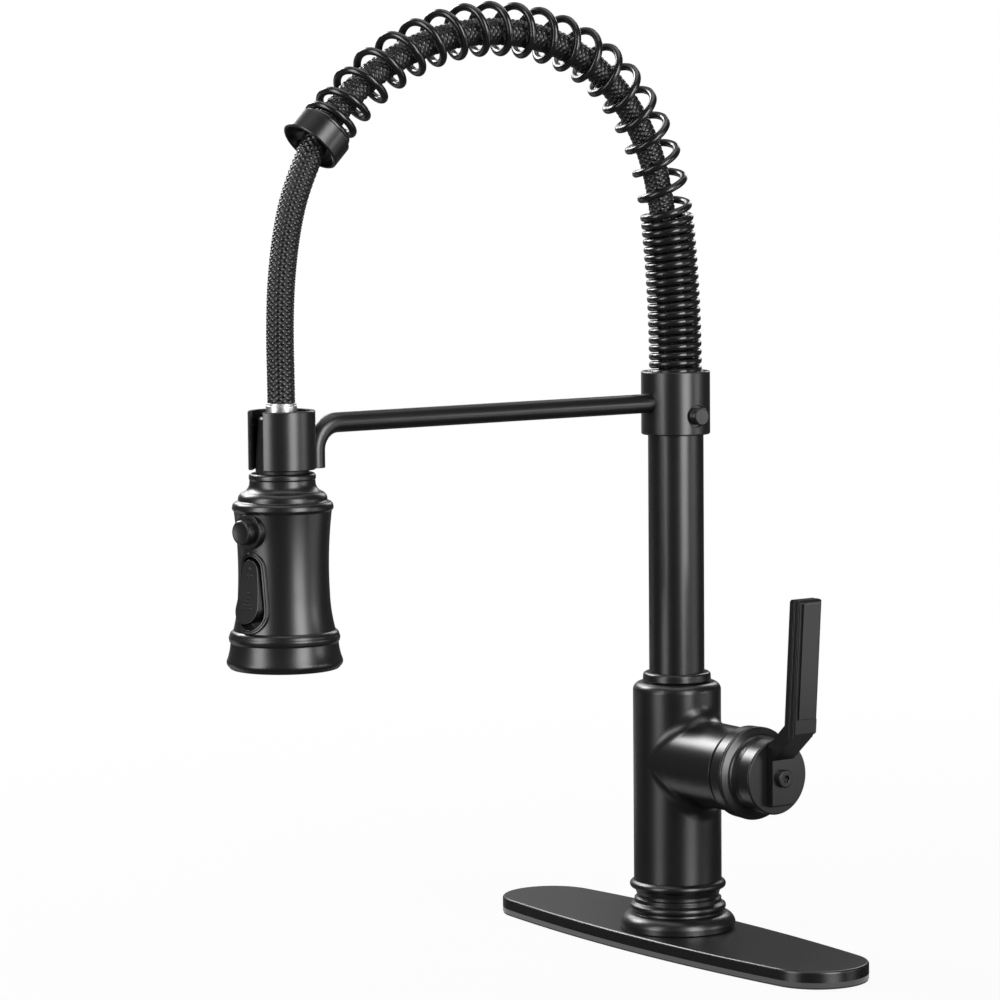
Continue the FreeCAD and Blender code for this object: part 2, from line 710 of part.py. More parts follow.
def spring_distances(steps):
    """The distance along the centre line after each part of a turn."""
    start = SPRING_SEAT_TOP + SPRING_WIRE / 2 + 0.3 - COLLAR_TOP
    open_turn = (OPEN_START - start) / CLOSE_PITCH
    close_turn = open_turn + OPEN_TURNS
    end = SPRING_LENGTH - SPRING_END_GAP
    distances = [start]
    while True:
        turn = (len(distances) - 0.5) / steps
        s = distances[-1] + pitch_at(turn, open_turn, close_turn) / steps
        if s > end:
            return distances, open_turn
        distances.append(s)


def spring_point(s, phase):
    """A point on the wire's centre line."""
    centre, angle = on_spring_line(s)
    inward = V(0, -math.cos(angle), -math.sin(angle))
    return centre + (inward * math.cos(phase) + X_AXIS * math.sin(phase)) * SPRING_MEAN_RADIUS


def biarc(p0, t0, p1, t1):
    """Two arcs that join two points with given directions."""
    v = p1 - p0
    t = t0 + t1
    spread = 2 * (1 - t0.dot(t1))
    reach = (-v.dot(t) + math.sqrt(v.dot(t) ** 2 + spread * v.dot(v))) / spread
    a = p0 + t0 * reach
    b = p1 - t1 * reach
    middle = (a + b) * 0.5
    return [tangent_arc(p0, a, middle), tangent_arc(middle, b, p1)]


def tangent_arc(start, corner, end):
    """The arc from start to end that touches the lines to the corner."""
    chord = (start + end) * 0.5
    up = corner - chord
    half = (end - start).Length / 2
    bulge = half * math.tan(math.atan2(up.Length, half) / 2)
    return Part.Arc(start, chord + up.normalize() * bulge, end).toShape()


def spring_path():
    """The wire's centre line: a biarc for each quarter turn, and straight ends of half a wire diameter."""
    steps = 4
    distances, open_turn = spring_distances(steps)
    offset = SPRING_PHASE - 2 * math.pi * open_turn
    phases = [2 * math.pi * i / steps + offset for i in range(len(distances))]
    points = [spring_point(s, phase) for s, phase in zip(distances, phases)]
    directions = []
    small = 0.01
    for i, (s, phase) in enumerate(zip(distances, phases)):
        near = max(min(i, len(distances) - 2), 1)
        rate = (distances[near + 1] - distances[near - 1]) / 2
        step = rate * small * steps / (2 * math.pi)
        ahead = spring_point(s + step, phase + small)
        behind = spring_point(s - step, phase - small)
        directions.append((ahead - behind).normalize())
    tail = SPRING_WIRE / 2
    edges = [Part.LineSegment(points[0] - directions[0] * tail, points[0]).toShape()]
    for i in range(len(points) - 1):
        edges += biarc(points[i], directions[i], points[i + 1], directions[i + 1])
    edges.append(Part.LineSegment(points[-1], points[-1] + directions[-1] * tail).toShape())
    return edges, directions[0]


def neck_spring():
    edges, direction = spring_path()
    start = edges[0].Vertexes[0].Point
    profile = Part.Wire(Part.Circle(start, direction, SPRING_WIRE / 2).toShape())
    spring = Part.Wire(edges).makePipeShell([profile], True, False)
    print_least_gap(edges)
    return spring


def print_least_gap(edges):
    """Measure the least gap between turns of the wire on points along its centre line."""
    points = []
    for edge in edges:
        points += edge.discretize(Number=4)[:-1]
    turn = 24
    least = 1000.0
    for i, point in enumerate(points):
        for other in points[i + turn // 2:i + 2 * turn]:
            least = min(least, (point - other).Length)
    print("spring turns %.1f, least gap between turns %.2f" % (len(edges) / 8, least - SPRING_WIRE))


def spring_end_ring():
    """The cup round the end of the spring. The hose leaves over the inner side of its mouth."""
    point, angle = on_spring_line(SPRING_LENGTH)
    along = V(0, -math.sin(angle), math.cos(angle))
    back = point - along * (END_RING_LENGTH / 2)
    cup = rod(back, back + along * END_RING_LENGTH, END_RING_OUTER)
    edges = [e for e in cup.Edges if e.Length > 50 and len(e.Vertexes) == 1]
    cup = cup.makeChamfer(0.4, edges)
    return cup.cut(rod(back - along, back + along * (END_RING_LENGTH + 1), END_RING_INNER))


def hose_in_neck():
    """The hose from the swivel up the riser and through the spring to the end ring."""
    half_angle = 2 * math.atan2(HOSE_LINE_SHIFT, HOSE_SHIFT_RUN)
    radius = HOSE_SHIFT_RUN / 2 / math.sin(half_angle)
    low = COLLAR_TOP - 10 - HOSE_SHIFT_RUN
    bottom = on(HOSE_PART_Z)
    foot = on(low)
    lean_out = [(radius, math.degrees(half_angle))]
    first = line_points(lean_out, 0, low)
    crossing = arc_point(first[0], first[0][4])
    middle_z = low + HOSE_SHIFT_RUN / 2
    top = on(low + HOSE_SHIFT_RUN, -HOSE_LINE_SHIFT)
    lean_middle = arc_point(first[0], half_angle / 2)
    near_top = on(2 * middle_z - lean_middle.z, -HOSE_LINE_SHIFT - lean_middle.y)
    edges = [Part.LineSegment(bottom, foot).toShape()]
    edges += arc_edges(first)
    edges.append(Part.Arc(crossing, near_top, top).toShape())
    edges.append(Part.LineSegment(top, on(COLLAR_TOP, -HOSE_LINE_SHIFT)).toShape())
    edges += arc_edges(line_points(HOSE_LINE, -HOSE_LINE_SHIFT, COLLAR_TOP))
    return hose_along(edges, "hose in the neck")


def hose_along(edges, name):
    path = Part.Wire(edges)
    start = edges[0].Vertexes[0].Point
    direction = edges[0].tangentAt(edges[0].FirstParameter)
    profile = Part.Wire(Part.Circle(start, direction, HOSE_RADIUS).toShape())
    hose = path.makePipeShell([profile], True, False)
    expected = path.Length * math.pi * HOSE_RADIUS ** 2
    print("%s: length %.1f, volume over section times length %.4f" % (name, path.Length,
        hose.Volume / expected))
    return hose


def hose_free():
    """The free hose: straight runs joined by tangent arcs as large as the runs allow."""
    points = [on(z, y) for y, z in FREE_HOSE_START + FREE_HOSE_POINTS] + [on(FERRULE_BOTTOM, HEAD_Y)]
    edges = []
    last = points[0]
    for i in range(1, len(points) - 1):
        before = points[i] - points[i - 1]
        after = points[i + 1] - points[i]
        turn = before.getAngle(after)
        reach = 0.45 * min(before.Length, after.Length)
        print("free hose bend %d: turn %.1f, radius %.0f" % (i, math.degrees(turn),
            reach / math.tan(turn / 2)))
        enter = points[i] - before.normalize() * reach
        leave = points[i] + after.normalize() * reach
        edges.append(Part.LineSegment(last, enter).toShape())
        edges.append(tangent_arc(enter, points[i], leave))
        last = leave
    edges.append(Part.LineSegment(last, points[-1]).toShape())
    return hose_along(edges, "free hose")


def hose_lower():
    return disc(HOSE_RADIUS, HOSE_BOTTOM, HOSE_PART_Z - 0.2)


def hose_connector():
    """The push-in connector on the hose's lower end, with a grip flange and a seal groove."""
    top = HOSE_BOTTOM
    return spin([
        (0, CONNECTOR_BOTTOM), (4.6, CONNECTOR_BOTTOM), (5.0, CONNECTOR_BOTTOM + 0.6), (5.0, -40.0),
        (4.2, -40.0),
        (4.2, -38.0), (5.0, -38.0), (5.0, -36.0), (CONNECTOR_RADIUS, -35.0), (CONNECTOR_RADIUS, -32.0),
        (6.4, -31.6),
        (6.4, top), (0, top),
    ])


# Spray head
def hose_ferrule():
    """The crimped sleeve on the hose's upper end, a little wider inside at its mouth."""
    mouth_radius = HOSE_RADIUS + 0.1
    mouth_floor = FERRULE_TOP - 3.0
    waist = FERRULE_RADIUS - 0.25
    return spin([
        (HOSE_RADIUS, FERRULE_BOTTOM), (FERRULE_RADIUS, FERRULE_BOTTOM),
        (FERRULE_RADIUS, FERRULE_TOP - 1.2), (waist, FERRULE_TOP - 0.9), (waist, FERRULE_TOP - 0.4),
        (mouth_radius + 0.1, FERRULE_TOP), (mouth_radius, FERRULE_TOP),
        (mouth_radius, mouth_floor), (HOSE_RADIUS, mouth_floor),
    ], HEAD_Y)


def hose_nut():
    """The swivel stem on the hose's upper end, with a seal groove."""
    return spin([
        (2.5, 226.4), (5.0, 226.4), (5.0, 230.0), (4.2, 230.0), (4.2, 232.0), (5.0, 232.0), (5.0, 236.5),
        (8.4, 236.5),
        (8.4, 240.0), (6.4, 240.0), (6.4, FERRULE_BOTTOM), (2.5, FERRULE_BOTTOM),
    ], HEAD_Y)


def dock_boss():
    """The tapered plug that seats in the holder. The hose's stem and ferrule turn inside it."""
    rounding = 0.8
    pocket_floor = FERRULE_BOTTOM - 0.8
    return spin([
        (6.5, 240.3), (DOCK_BOSS_RADIUS, 240.3), (DOCK_BOSS_RADIUS, 246.0),
        (DOCK_BOSS_TOP_RADIUS, DOCK_BOSS_TOP - rounding),
        (DOCK_BOSS_TOP_RADIUS - rounding, DOCK_BOSS_TOP), (FERRULE_POCKET, DOCK_BOSS_TOP),
        (FERRULE_POCKET, pocket_floor),
        (6.5, pocket_floor),
    ], HEAD_Y)


def shell_outline(inset, top, bottom):
    """The shell's outer line, top to bottom: a lip, a curved shoulder, a bead and a long waisted barrel."""
    return [
        (13.6 - inset, top), (15.0 - inset, top - 1.5, (14.6 - inset, top - 0.5)), (15.0 - inset, 239.4),
        (14.7 - inset, 238.8), (14.8 - inset, 237.8), (17.3 - inset, 233.6, (15.5 - inset, 235.3)),
        (20.0 - inset, 230.7, (19.2 - inset, 232.4)), (20.0 - inset, 229.7), (20.7 - inset, 229.2),
        (22.6 - inset, 227.0, (22.1 - inset, 228.4)), (22.3 - inset, 225.3, (22.7 - inset, 226.1)),
        (21.9 - inset, 224.8), (20.6 - inset, 188.0, (20.4 - inset, 205.0)),
        (22.9 - inset, bottom, (21.3 - inset, 179.6)),
    ]


def shell_solid(inset, top, bottom):
    return spin([(0, bottom), (0, top)] + shell_outline(inset, top, bottom), HEAD_Y)


def spray_shell():
    shell = shell_solid(0, SHELL_TOP, SHELL_BOTTOM)
    ceiling = 238.6
    inner = spin([(0, SHELL_BOTTOM), (0, ceiling), (12.6, ceiling)] + shell_outline(SHELL_WALL, ceiling,
        SHELL_BOTTOM)[4:], HEAD_Y)
    shell = shell.cut(inner).cut(disc(DOCK_BOSS_RADIUS, 230, 250, HEAD_Y))
    shell = shell.cut(outwards(BUTTON_Z, 14.0, 30.0, BEZEL_RADIUS))
    return shell.cut(egg(0.0, 14.0, 30.0))


def outwards(z, start, end, radius):
    """A cylinder that points out through the head's front where the controls are."""
    return turned(rod(V(0, HEAD_Y - start, z), V(0, HEAD_Y - end, z), radius))


def egg(inset, start, end, top=(ROCKER_TOP_Z, ROCKER_TOP_RADIUS), low=(ROCKER_LOW_Z, ROCKER_LOW_RADIUS)):
    """An egg-shaped prism through the head's front: two circles and the lines that touch them both."""
    top_z, top_radius = top
    low_z, low_radius = low
    top_radius -= inset
    low_radius -= inset
    tilt = math.asin((low_radius - top_radius) / (top_z - low_z))
    y = HEAD_Y - start

    def spot(z, radius, angle):
        return V(radius * math.cos(angle), y, z + radius * math.sin(angle))

    right_top = spot(top_z, top_radius, tilt)
    left_top = V(-right_top.x, y, right_top.z)
    right_low = spot(low_z, low_radius, tilt)
    left_low = V(-right_low.x, y, right_low.z)
    edges = [
        Part.Arc(right_top, V(0, y, top_z + top_radius), left_top).toShape(),
        Part.LineSegment(left_top, left_low).toShape(),
        Part.Arc(left_low, V(0, y, low_z - low_radius), right_low).toShape(),
        Part.LineSegment(right_low, right_top).toShape(),
    ]
    return turned(Part.Face(Part.Wire(edges)).extrude(V(0, start - end, 0)))


def rocker_frame():
    """The raised frame round the rocker, with the tray behind it that carries the rocker's pin."""
    proud = 1.0
    rim = egg(0, 15.0, 30.0).common(shell_solid(-proud, SHELL_TOP, SHELL_BOTTOM))
    frame = rim.cut(egg(FRAME_WIDTH, 16.0, 30.0))
    groove = egg(0.7, 14.0, 30.0).cut(egg(1.0, 14.0, 30.0)).cut(shell_solid(-0.5, SHELL_TOP, SHELL_BOTTOM))
    return frame.cut(groove).cut(rocker_pin())


def across(half, radius):
    """A cylinder on the rocker's pivot axis."""
    y = HEAD_Y - ROCKER_PIN_REACH
    return turned(rod(V(-half, y, ROCKER_PIN_Z), V(half, y, ROCKER_PIN_Z), radius))


def rocker_pin():
    return across(ROCKER_PIN_HALF, ROCKER_PIN_RADIUS)


def rocker():
    """The spray and stream selector: a curved pad whose lower end stands out, with an eye for its pin."""
    pad = egg(0, 16.6, 28.0, (PAD_TOP_Z, PAD_TOP_RADIUS), (PAD_LOW_Z, PAD_LOW_RADIUS))
    top = PAD_TOP_Z + PAD_TOP_RADIUS
    low = PAD_LOW_Z - PAD_LOW_RADIUS
    half = 8.0
    inner_low = V(-half, HEAD_Y - 18.6, low)
    outer_low = V(-half, HEAD_Y - 26.4, low)
    outer_top = V(-half, HEAD_Y - 22.0, top)
    inner_top = V(-half, HEAD_Y - 16.8, top)
    via = V(-half, HEAD_Y - 22.7, (top + low) / 2 + 1)
    edges = [
        Part.LineSegment(inner_low, outer_low).toShape(), Part.Arc(outer_low, via, outer_top).toShape(),
        Part.LineSegment(outer_top, inner_top).toShape(), Part.LineSegment(inner_top, inner_low).toShape(),
    ]
    side = turned(Part.Face(Part.Wire(edges)).extrude(V(2 * half, 0, 0)))
    body = join(pad.common(side), across(5.0, ROCKER_PIN_RADIUS + 1.0))
    return body.cut(across(half, ROCKER_PIN_RADIUS + RUNNING_GAP))


def button_bezel():
    """The eight-sided surround of the pause button."""
    start = 15.0
    end = 23.0
    corner = BEZEL_RADIUS / math.cos(math.radians(22.5))
    points = []
    for i in range(9):
        angle = math.radians(45 * i + 22.5)
        points.append(V(corner * math.cos(angle), HEAD_Y - start, BUTTON_Z + corner * math.sin(angle)))
    body = turned(Part.Face(Part.makePolygon(points)).extrude(V(0, start - end, 0)))
    body = body.common(outwards(BUTTON_Z, start, end, BEZEL_RADIUS))
    return body.cut(outwards(BUTTON_Z, start, end, BUTTON_RADIUS + RUNNING_GAP))


def pause_button():
    body = rod(V(0, HEAD_Y - 17.0, BUTTON_Z), V(0, HEAD_Y - BUTTON_FACE, BUTTON_Z), BUTTON_RADIUS)
    face = [e for e in body.Edges if abs(e.CenterOfMass.y - HEAD_Y + BUTTON_FACE) < 0.01]
    body = body.makeChamfer(0.6, face)
    dish = Part.makeSphere(24.0, V(0, HEAD_Y - BUTTON_FACE - 23.6, BUTTON_Z))
    pocket = rod(V(0, HEAD_Y - 17.0, BUTTON_Z), V(0, HEAD_Y - 20.3, BUTTON_Z), 3.9)
    return turned(body.cut(dish).cut(pocket))


def button_spring():
    """The return spring behind the button, as a sleeve of its size with the button pressed."""
    return outwards(BUTTON_Z, 12.1, 17.6, 3.6).cut(outwards(BUTTON_Z, 12.1, 17.6, 2.8))


def spray_core():
    """The waterway block inside the shell, bored for the stem, the valve and the selector spool."""
    core = spin([
        (0, 160.0), (17.0, 160.0), (17.0, 168.0), (12.0, 171.2), (12.0, 222.0), (8.4, 225.8),
        (8.4, 236.0), (0, 236.0),
    ], HEAD_Y)
    core = core.cut(disc(5.0 + RUNNING_GAP, 226.2, 236.0, HEAD_Y))
    core = core.cut(disc(4.0, 212.0, 226.2, HEAD_Y))
    core = core.cut(disc(2.4, 166.0, 212.0, HEAD_Y))
    return core.cut(turned(disc(2.0 + RUNNING_GAP, 172.0, 200.0, HEAD_Y - 7.0)))


def check_valve():
    return spin([(1.6, 213.0), (4.0, 213.0), (4.0, 224.4), (1.6, 224.4)], HEAD_Y)


def hose_washer():
    return spin([(2.4, 224.6), (3.9, 224.6), (3.9, 226.2), (2.4, 226.2)], HEAD_Y)


def diverter_spool():
    spool = disc(2.0, 176.0, 196.0, HEAD_Y - 7.0)
    spool = spool.cut(ring(1.4, 3.0, 182.0, 184.0, HEAD_Y - 7.0))
    return turned(spool.cut(ring(1.4, 3.0, 188.0, 190.0, HEAD_Y - 7.0)))


def spray_lower_ring():
    """The flared ring round the outlet."""
    return spin([
        (22.0, SHELL_BOTTOM), (23.2, SHELL_BOTTOM), (24.6, 169.2, (24.1, 170.6)),
        (24.9, 167.6, (24.95, 168.4)),
        (24.7, 166.6, (24.8, 167.0)), (24.2, 165.9), (24.3, 165.0), (25.9, 158.2, (24.9, 161.4)),
        (24.9, 155.0, (25.9, 156.2)), (22.6, HEAD_BOTTOM, (23.9, 154.1)), (21.6, HEAD_BOTTOM),
        (21.6, 166.0), (22.0, 166.0),
    ], HEAD_Y)


def nozzle_spots():
    """The centres of the spray nozzles, round the outlet."""
    spots = []
    for i in range(NOZZLE_COUNT):
        angle = 2 * math.pi * i / NOZZLE_COUNT
        reach = NOZZLE_RING - 3.4 * (i % 2)
        spots.append((reach * math.cos(angle), reach * math.sin(angle)))
    return spots


def spray_face():
    """The outlet plate, with a hole for each nozzle and one for the aerator."""
    plate = ring(8.5, 21.6, 156.0, 158.0, HEAD_Y)
    for x, y in nozzle_spots():
        plate = plate.cut(disc(0.95, 156.0, 158.0, HEAD_Y + y, x))
    return plate


def spray_nozzles():
    """The soft nozzles: one rubber web with a stub through each hole of the outlet plate."""
    web = ring(10.5, 20.4, 158.0, 159.4, HEAD_Y)
    stubs = [disc(0.9, 155.0, 159.0, HEAD_Y + y, x) for x, y in nozzle_spots()]
    return join(web, *stubs)


def aerator_housing():
    return spin([
        (6.6, 155.0), (8.2, 155.0), (8.5, 155.4), (8.5, 160.0), (7.2, 160.0), (7.2, 158.4), (6.6, 158.4),
    ], HEAD_Y)


def aerator_mesh():
    """The stream former: a disc with rings of round holes."""
    mesh = disc(6.6, 155.6, 158.2, HEAD_Y)
    for count, reach in ((1, 0.0), (6, 2.4), (12, 4.8)):
        for i in range(count):
            angle = 2 * math.pi * i / count
            mesh = mesh.cut(disc(0.85, 155.6, 158.2, HEAD_Y + reach * math.sin(angle),
                reach * math.cos(angle)))
    return mesh


NODES = [
    deck_plate, deck_gasket, deck_base, shank, rubber_washer, steel_washer, mounting_nut,
    base_flange, base_seal, valve_body, body_top_ring, swivel_bush,
    cartridge_housing, cartridge_seat_disc, cartridge_nut, bonnet, hose_lower, hose_connector,
    cartridge_rotor, pivot_pin, cartridge_disc,
    cartridge_stem, handle_hub, lever_arm, lever_inlay, lever_screw,
    riser_tube, riser_seals, riser_clip, collar, spring_seat, thumb_screw, dock_arm, dock_holder, dock_liner,
    neck_spring, spring_end_ring, hose_in_neck, hose_free,
    hose_ferrule, hose_nut, dock_boss, spray_shell, spray_core, check_valve, hose_washer, diverter_spool,
    button_bezel, pause_button, button_spring, rocker_frame, rocker_pin, rocker,
    spray_lower_ring, spray_face, spray_nozzles, aerator_housing, aerator_mesh,
]


def main():
    os.makedirs("parts", exist_ok=True)
    for make in NODES:
        shape = make()
        solids = shape.Solids
        kind = "ok" if solids and shape.isValid() else "CHECK"
        print("%-20s %s solids %d volume %.1f" % (make.__name__, kind, len(solids), shape.Volume))
        shape.exportStep("parts/%s.step" % make.__name__)


main()
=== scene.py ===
import json
import math

import bpy
from mathutils import Matrix, Vector
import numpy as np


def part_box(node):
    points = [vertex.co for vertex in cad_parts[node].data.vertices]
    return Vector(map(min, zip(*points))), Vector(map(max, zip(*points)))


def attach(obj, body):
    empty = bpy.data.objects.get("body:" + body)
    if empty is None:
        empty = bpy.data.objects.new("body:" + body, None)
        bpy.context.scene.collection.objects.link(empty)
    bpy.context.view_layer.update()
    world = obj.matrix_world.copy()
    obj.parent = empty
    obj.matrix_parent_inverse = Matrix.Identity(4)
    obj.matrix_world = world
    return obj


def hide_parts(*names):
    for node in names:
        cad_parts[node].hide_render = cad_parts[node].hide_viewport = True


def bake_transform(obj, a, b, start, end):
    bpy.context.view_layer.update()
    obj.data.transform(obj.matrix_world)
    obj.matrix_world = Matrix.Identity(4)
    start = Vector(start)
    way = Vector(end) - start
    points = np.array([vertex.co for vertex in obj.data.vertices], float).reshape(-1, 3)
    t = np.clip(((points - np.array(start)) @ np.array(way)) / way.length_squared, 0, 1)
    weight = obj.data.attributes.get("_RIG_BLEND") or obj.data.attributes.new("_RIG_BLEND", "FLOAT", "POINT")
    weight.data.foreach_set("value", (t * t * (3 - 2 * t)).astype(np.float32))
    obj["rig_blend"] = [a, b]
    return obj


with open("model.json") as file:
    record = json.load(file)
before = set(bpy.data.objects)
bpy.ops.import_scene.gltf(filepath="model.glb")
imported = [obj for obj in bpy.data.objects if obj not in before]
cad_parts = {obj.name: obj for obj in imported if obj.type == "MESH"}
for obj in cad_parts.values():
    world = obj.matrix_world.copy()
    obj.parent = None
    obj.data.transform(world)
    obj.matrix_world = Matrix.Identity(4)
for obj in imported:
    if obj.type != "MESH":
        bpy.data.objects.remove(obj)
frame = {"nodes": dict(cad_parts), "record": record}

# A spring faucet in satin black, in metres, in the frame of its solids: +Z up from the deck, the arm
# and the spray head towards -Y, the handle towards +X.

MM = 0.001

# Camera, as solved from the photograph
CAMERA_TURN = math.radians(51.518)
CAMERA_REACH = 1.907377
CAMERA_HEIGHT = 0.394522
CAMERA_PITCH = math.radians(5.339)
CAMERA_ROLL = math.radians(-0.511)
CAMERA_YAW = math.radians(2.536)
CAMERA_LENS = 143.71

# Surroundings: a floor that is nearly white by the faucet and white further out, a white sky, and a dark
# table top and wall, given by the (radius, height) of their outline
ROUND_CORNERS = 96
FLOOR_RADIUS = 12.0
FLOOR_COLOUR = 0.8
FLOOR_NEAR_TONE = 0.94
FLOOR_FADE_START = 0.15
FLOOR_FADE_END = 0.9
SKY_LIGHT = 0.2
DARK_OUTLINE = ((0.02, 0.003), (1.5, 0.004), (1.5, 3.5))
DARK_COLOUR = 0.06
DARK_ROUGHNESS = 0.2

# Lamps: name, degrees round to the right of the camera, distance, height, width, tallness, radiance, and
# the height that it aims at. One that is taller than wide stands upright.
LAMP_AIM_Y = -0.08
MIDDLE = 0.22
STRAIGHT_UP = 50.0
LAMPS = (
    ("left_strip", -50, 1.25, 0.59, 0.46, 1.14, 4.4, MIDDLE),
    ("right_strip", 35, 1.25, 0.59, 0.58, 1.14, 5.6, MIDDLE),
    ("right_card", 77, 1.25, 0.31, 0.4, 0.22, 3.6, MIDDLE),
    ("right_low_card", 80, 1.25, 0.14, 0.9, 0.16, 0.4, MIDDLE),
    ("floor_card", 77, 0.75, 0.012, 0.5, 0.5, 1.05, STRAIGHT_UP),
    ("key_box", -123, 1.15, 1.05, 0.5, 0.5, 13.6, MIDDLE),
    ("far_strip_right", 160, 1.3, 1.0, 0.4, 0.9, 3.6, MIDDLE),
    ("far_strip_left", -150, 1.3, 1.0, 0.4, 0.9, 3.6, MIDDLE),
    ("back_box", -160, 1.3, 0.8, 0.9, 0.36, 1.2, MIDDLE),
    ("back_card", -158, 1.35, 0.25, 1.0, 0.3, 0.3, MIDDLE),
    ("top_box", -170, 0.4, 1.6, 1.2, 1.0, 0.4, MIDDLE),
)

# Finishes. Each range says where its effect starts and where it is full.
CLOUD_SCALE = 55.0
CLOUD_DETAIL = 5.0
CLOUD_RANGE = (0.4, 0.75)
GLOSS_RANGE = (0.3, 0.7)
GRAIN_SHARE = 0.5
GRAIN_STRENGTH = 0.5
EDGE_SAMPLES = 6
EDGE_RANGE = (0.98, 0.85)
# Share of the edges' colour that goes to the lighter edge tone, a painted highlight
EDGE_HIGHLIGHT_SHARE = 0.6
EDGE_POLISH = 0.1
METAL_DULL = 0.72
METAL_GRAIN_SCALE = 900.0
METAL_EDGE = 0.25 * MM
TURNING_SCALE = 9000.0
TURNING_STRETCH = (0.05, 0.05, 1.0)
TURNING_STRENGTH = 0.4
TURNING_DEPTH = 0.02 * MM

# Pieces with grooves too fine for the usual eased edge
FINE_EDGES = ("lever_arm", "lever_inlay")

# Woven cover of the hose: yarns each way, length of one crossing, height of the relief, how high a yarn
# is where it passes under another, and the filaments in it
HOSE_RADIUS = 6.3 * MM
HOSE_CARRIERS = 8
HOSE_PICK = 2.6 * MM
HOSE_YARN_HEIGHT = 0.75 * MM
YARN_UNDER = 0.25
YARN_FILAMENTS = 7
FILAMENT_STRENGTH = 0.2
FILAMENT_DEPTH = 0.04 * MM

# The cover's tone and roughness between the yarns and on top of them. The darker tone between the yarns is
# painted shade.
BRAID_SHADE_AND_YARN_TONES = (0.002, 0.009)
BRAID_ROUGHNESS = (0.7, 0.17)
BRAID_SPECULAR = 0.94

# Sides of the hose's mesh for each yarn
YARN_SIDES = 16
LOWER_YARN_SIDES = 8

# Hose in the riser and the spring, in millimetres, with its bends in the spring as (radius, degrees)
COLLAR_TOP = 277.8
HOSE_STEP = 0.34
HOSE_FOOT = 110.3
HOSE_SHIFT = 2.5
HOSE_SHIFT_RUN = 60.0
HOSE_COLLAR_RUN = 10
HOSE_ARCS = [(594.14, 6.46), (189.57, 7.248), (90.538, 63.255), (123.308, 58.234), (79.87, 16.803)]

# Hose below the riser, in millimetres
LOWER_HOSE_TOP = HOSE_FOOT - 0.2
LOWER_HOSE_END = -28.0
LOWER_HOSE_ROWS = 200

# Free hose, in metres, from the spring's cup down to the spray head
FREE_HOSE_ROUTE = [
    (0, -0.20718, 0.38293), (0, -0.2145, 0.36917), (0, -0.2202, 0.349), (0, -0.2235, 0.326),
    (0, -0.2244, 0.303), (0, -0.22406, 0.281), (0, -0.22406, 0.257),
]
FREE_HOSE_RESOLUTION = 80

# Signs on the spray selector, in millimetres: each spot's place across the pad, its height above the deck,
# and half its width and height. SPOT_OUTLINE is a spot's section, as (share of its reach, lift off the pad).
HEAD_Y = -224.06 * MM
CONTROL_ANGLE = math.radians(14.0)
STREAM_SPOTS = [(0, 200.4, 0.7, 1.1), (0, 197.2, 0.36, 1.2), (-1.3, 197.6, 0.3, 0.8), (1.3, 197.6, 0.3, 0.8)]
SPRAY_BAR = (0, 189.8, 1.1, 0.4)
DOT_ROWS = (2, 3, 4, 5)
DOT_ROWS_TOP = 187.6
DOT_ROW_STEP = 1.5
DOT_STEP = 1.4
DOT_RADIUS = 0.38
SPOT_CORNERS = 12
SPOT_OUTLINE = ((1.0, -0.05), (0.85, 0.22), (0.45, 0.34))
SPOT_TOP = 0.36
SIGN_DISTANCE = 0.04

# Shank and its thread, whose flanks rise from a flat root to a flat crest
SHANK_SIDES = 72
SHANK_RADIUS = 16.5 * MM
SHANK_BORE = 14.5 * MM
BORE_CHAMFER = 0.6 * MM
FOOT_CHAMFER = 0.3 * MM
THREAD_START = 0.4 * MM
THREAD_TOP = -1.0 * MM
THREAD_PITCH = 1.5 * MM
THREAD_DEPTH = 0.8 * MM
THREAD_FADE = 2 * THREAD_PITCH
THREAD_LEAST = 0.3
THREAD_FOOT_CUT = 0.5
THREAD_SLOPE = 1.3
THREAD_ROOT = 0.12
THREAD_ROWS = 6


# Meshes
def collection_link(thing):
    bpy.context.scene.collection.objects.link(thing)
    return thing


def mesh_piece(name, points, faces, smooth=True):
    """A mesh object from its points and faces."""
    mesh = bpy.data.meshes.new(name)
    mesh.from_pydata([tuple(p) for p in points], [], faces)
    mesh.validate()
    mesh.polygons.foreach_set("use_smooth", [smooth] * len(mesh.polygons))
    mesh.update()
    return collection_link(bpy.data.objects.new(name, mesh))


def ring(radius, z, corners):
    """The points of a circle round the Z axis."""
    points = []
    for i in range(corners):
        angle = 2 * math.pi * i / corners
        points.append((radius * math.cos(angle), radius * math.sin(angle), z))
    return points


def band(first, second, corners):
    """The faces between two rings, each given by the number of its first point."""
    faces = []
    for i in range(corners):
        after = (i + 1) % corners
        faces.append((first + i, first + after, second + after, second + i))
    return faces


# Nodes
def feed(links, value, target):
    """Link a socket into an input, or set the input to a plain value."""
    if isinstance(value, bpy.types.NodeSocket):
        links.new(value, target)
    else:
        target.default_value = value


def math_node(nodes, links, operation, first, second=None):
    node = nodes.new("ShaderNodeMath")
    node.operation = operation
    feed(links, first, node.inputs[0])
    if second is not None:
        feed(links, second, node.inputs[1])
    return node.outputs[0]


def map_range(nodes, links, value, start, end, low=0.0, high=1.0):
    """A value that goes from start to end, turned into one from low to high."""
    node = nodes.new("ShaderNodeMapRange")
    feed(links, value, node.inputs["Value"])
    feed(links, start, node.inputs["From Min"])
    feed(links, end, node.inputs["From Max"])
    feed(links, low, node.inputs["To Min"])
    feed(links, high, node.inputs["To Max"])
    return node.outputs[0]


def colour_mix(nodes, links, share, first, second):
    node = nodes.new("ShaderNodeMix")
    node.data_type = "RGBA"
    feed(links, share, node.inputs["Factor"])
    feed(links, first, node.inputs[6])
    feed(links, second, node.inputs[7])
    return node.outputs[2]


def shader_mix(nodes, links, share, first, second):
    node = nodes.new("ShaderNodeMixShader")
    for slot, source in enumerate((share, first, second)):
        links.new(source, node.inputs[slot])
    return node.outputs[0]


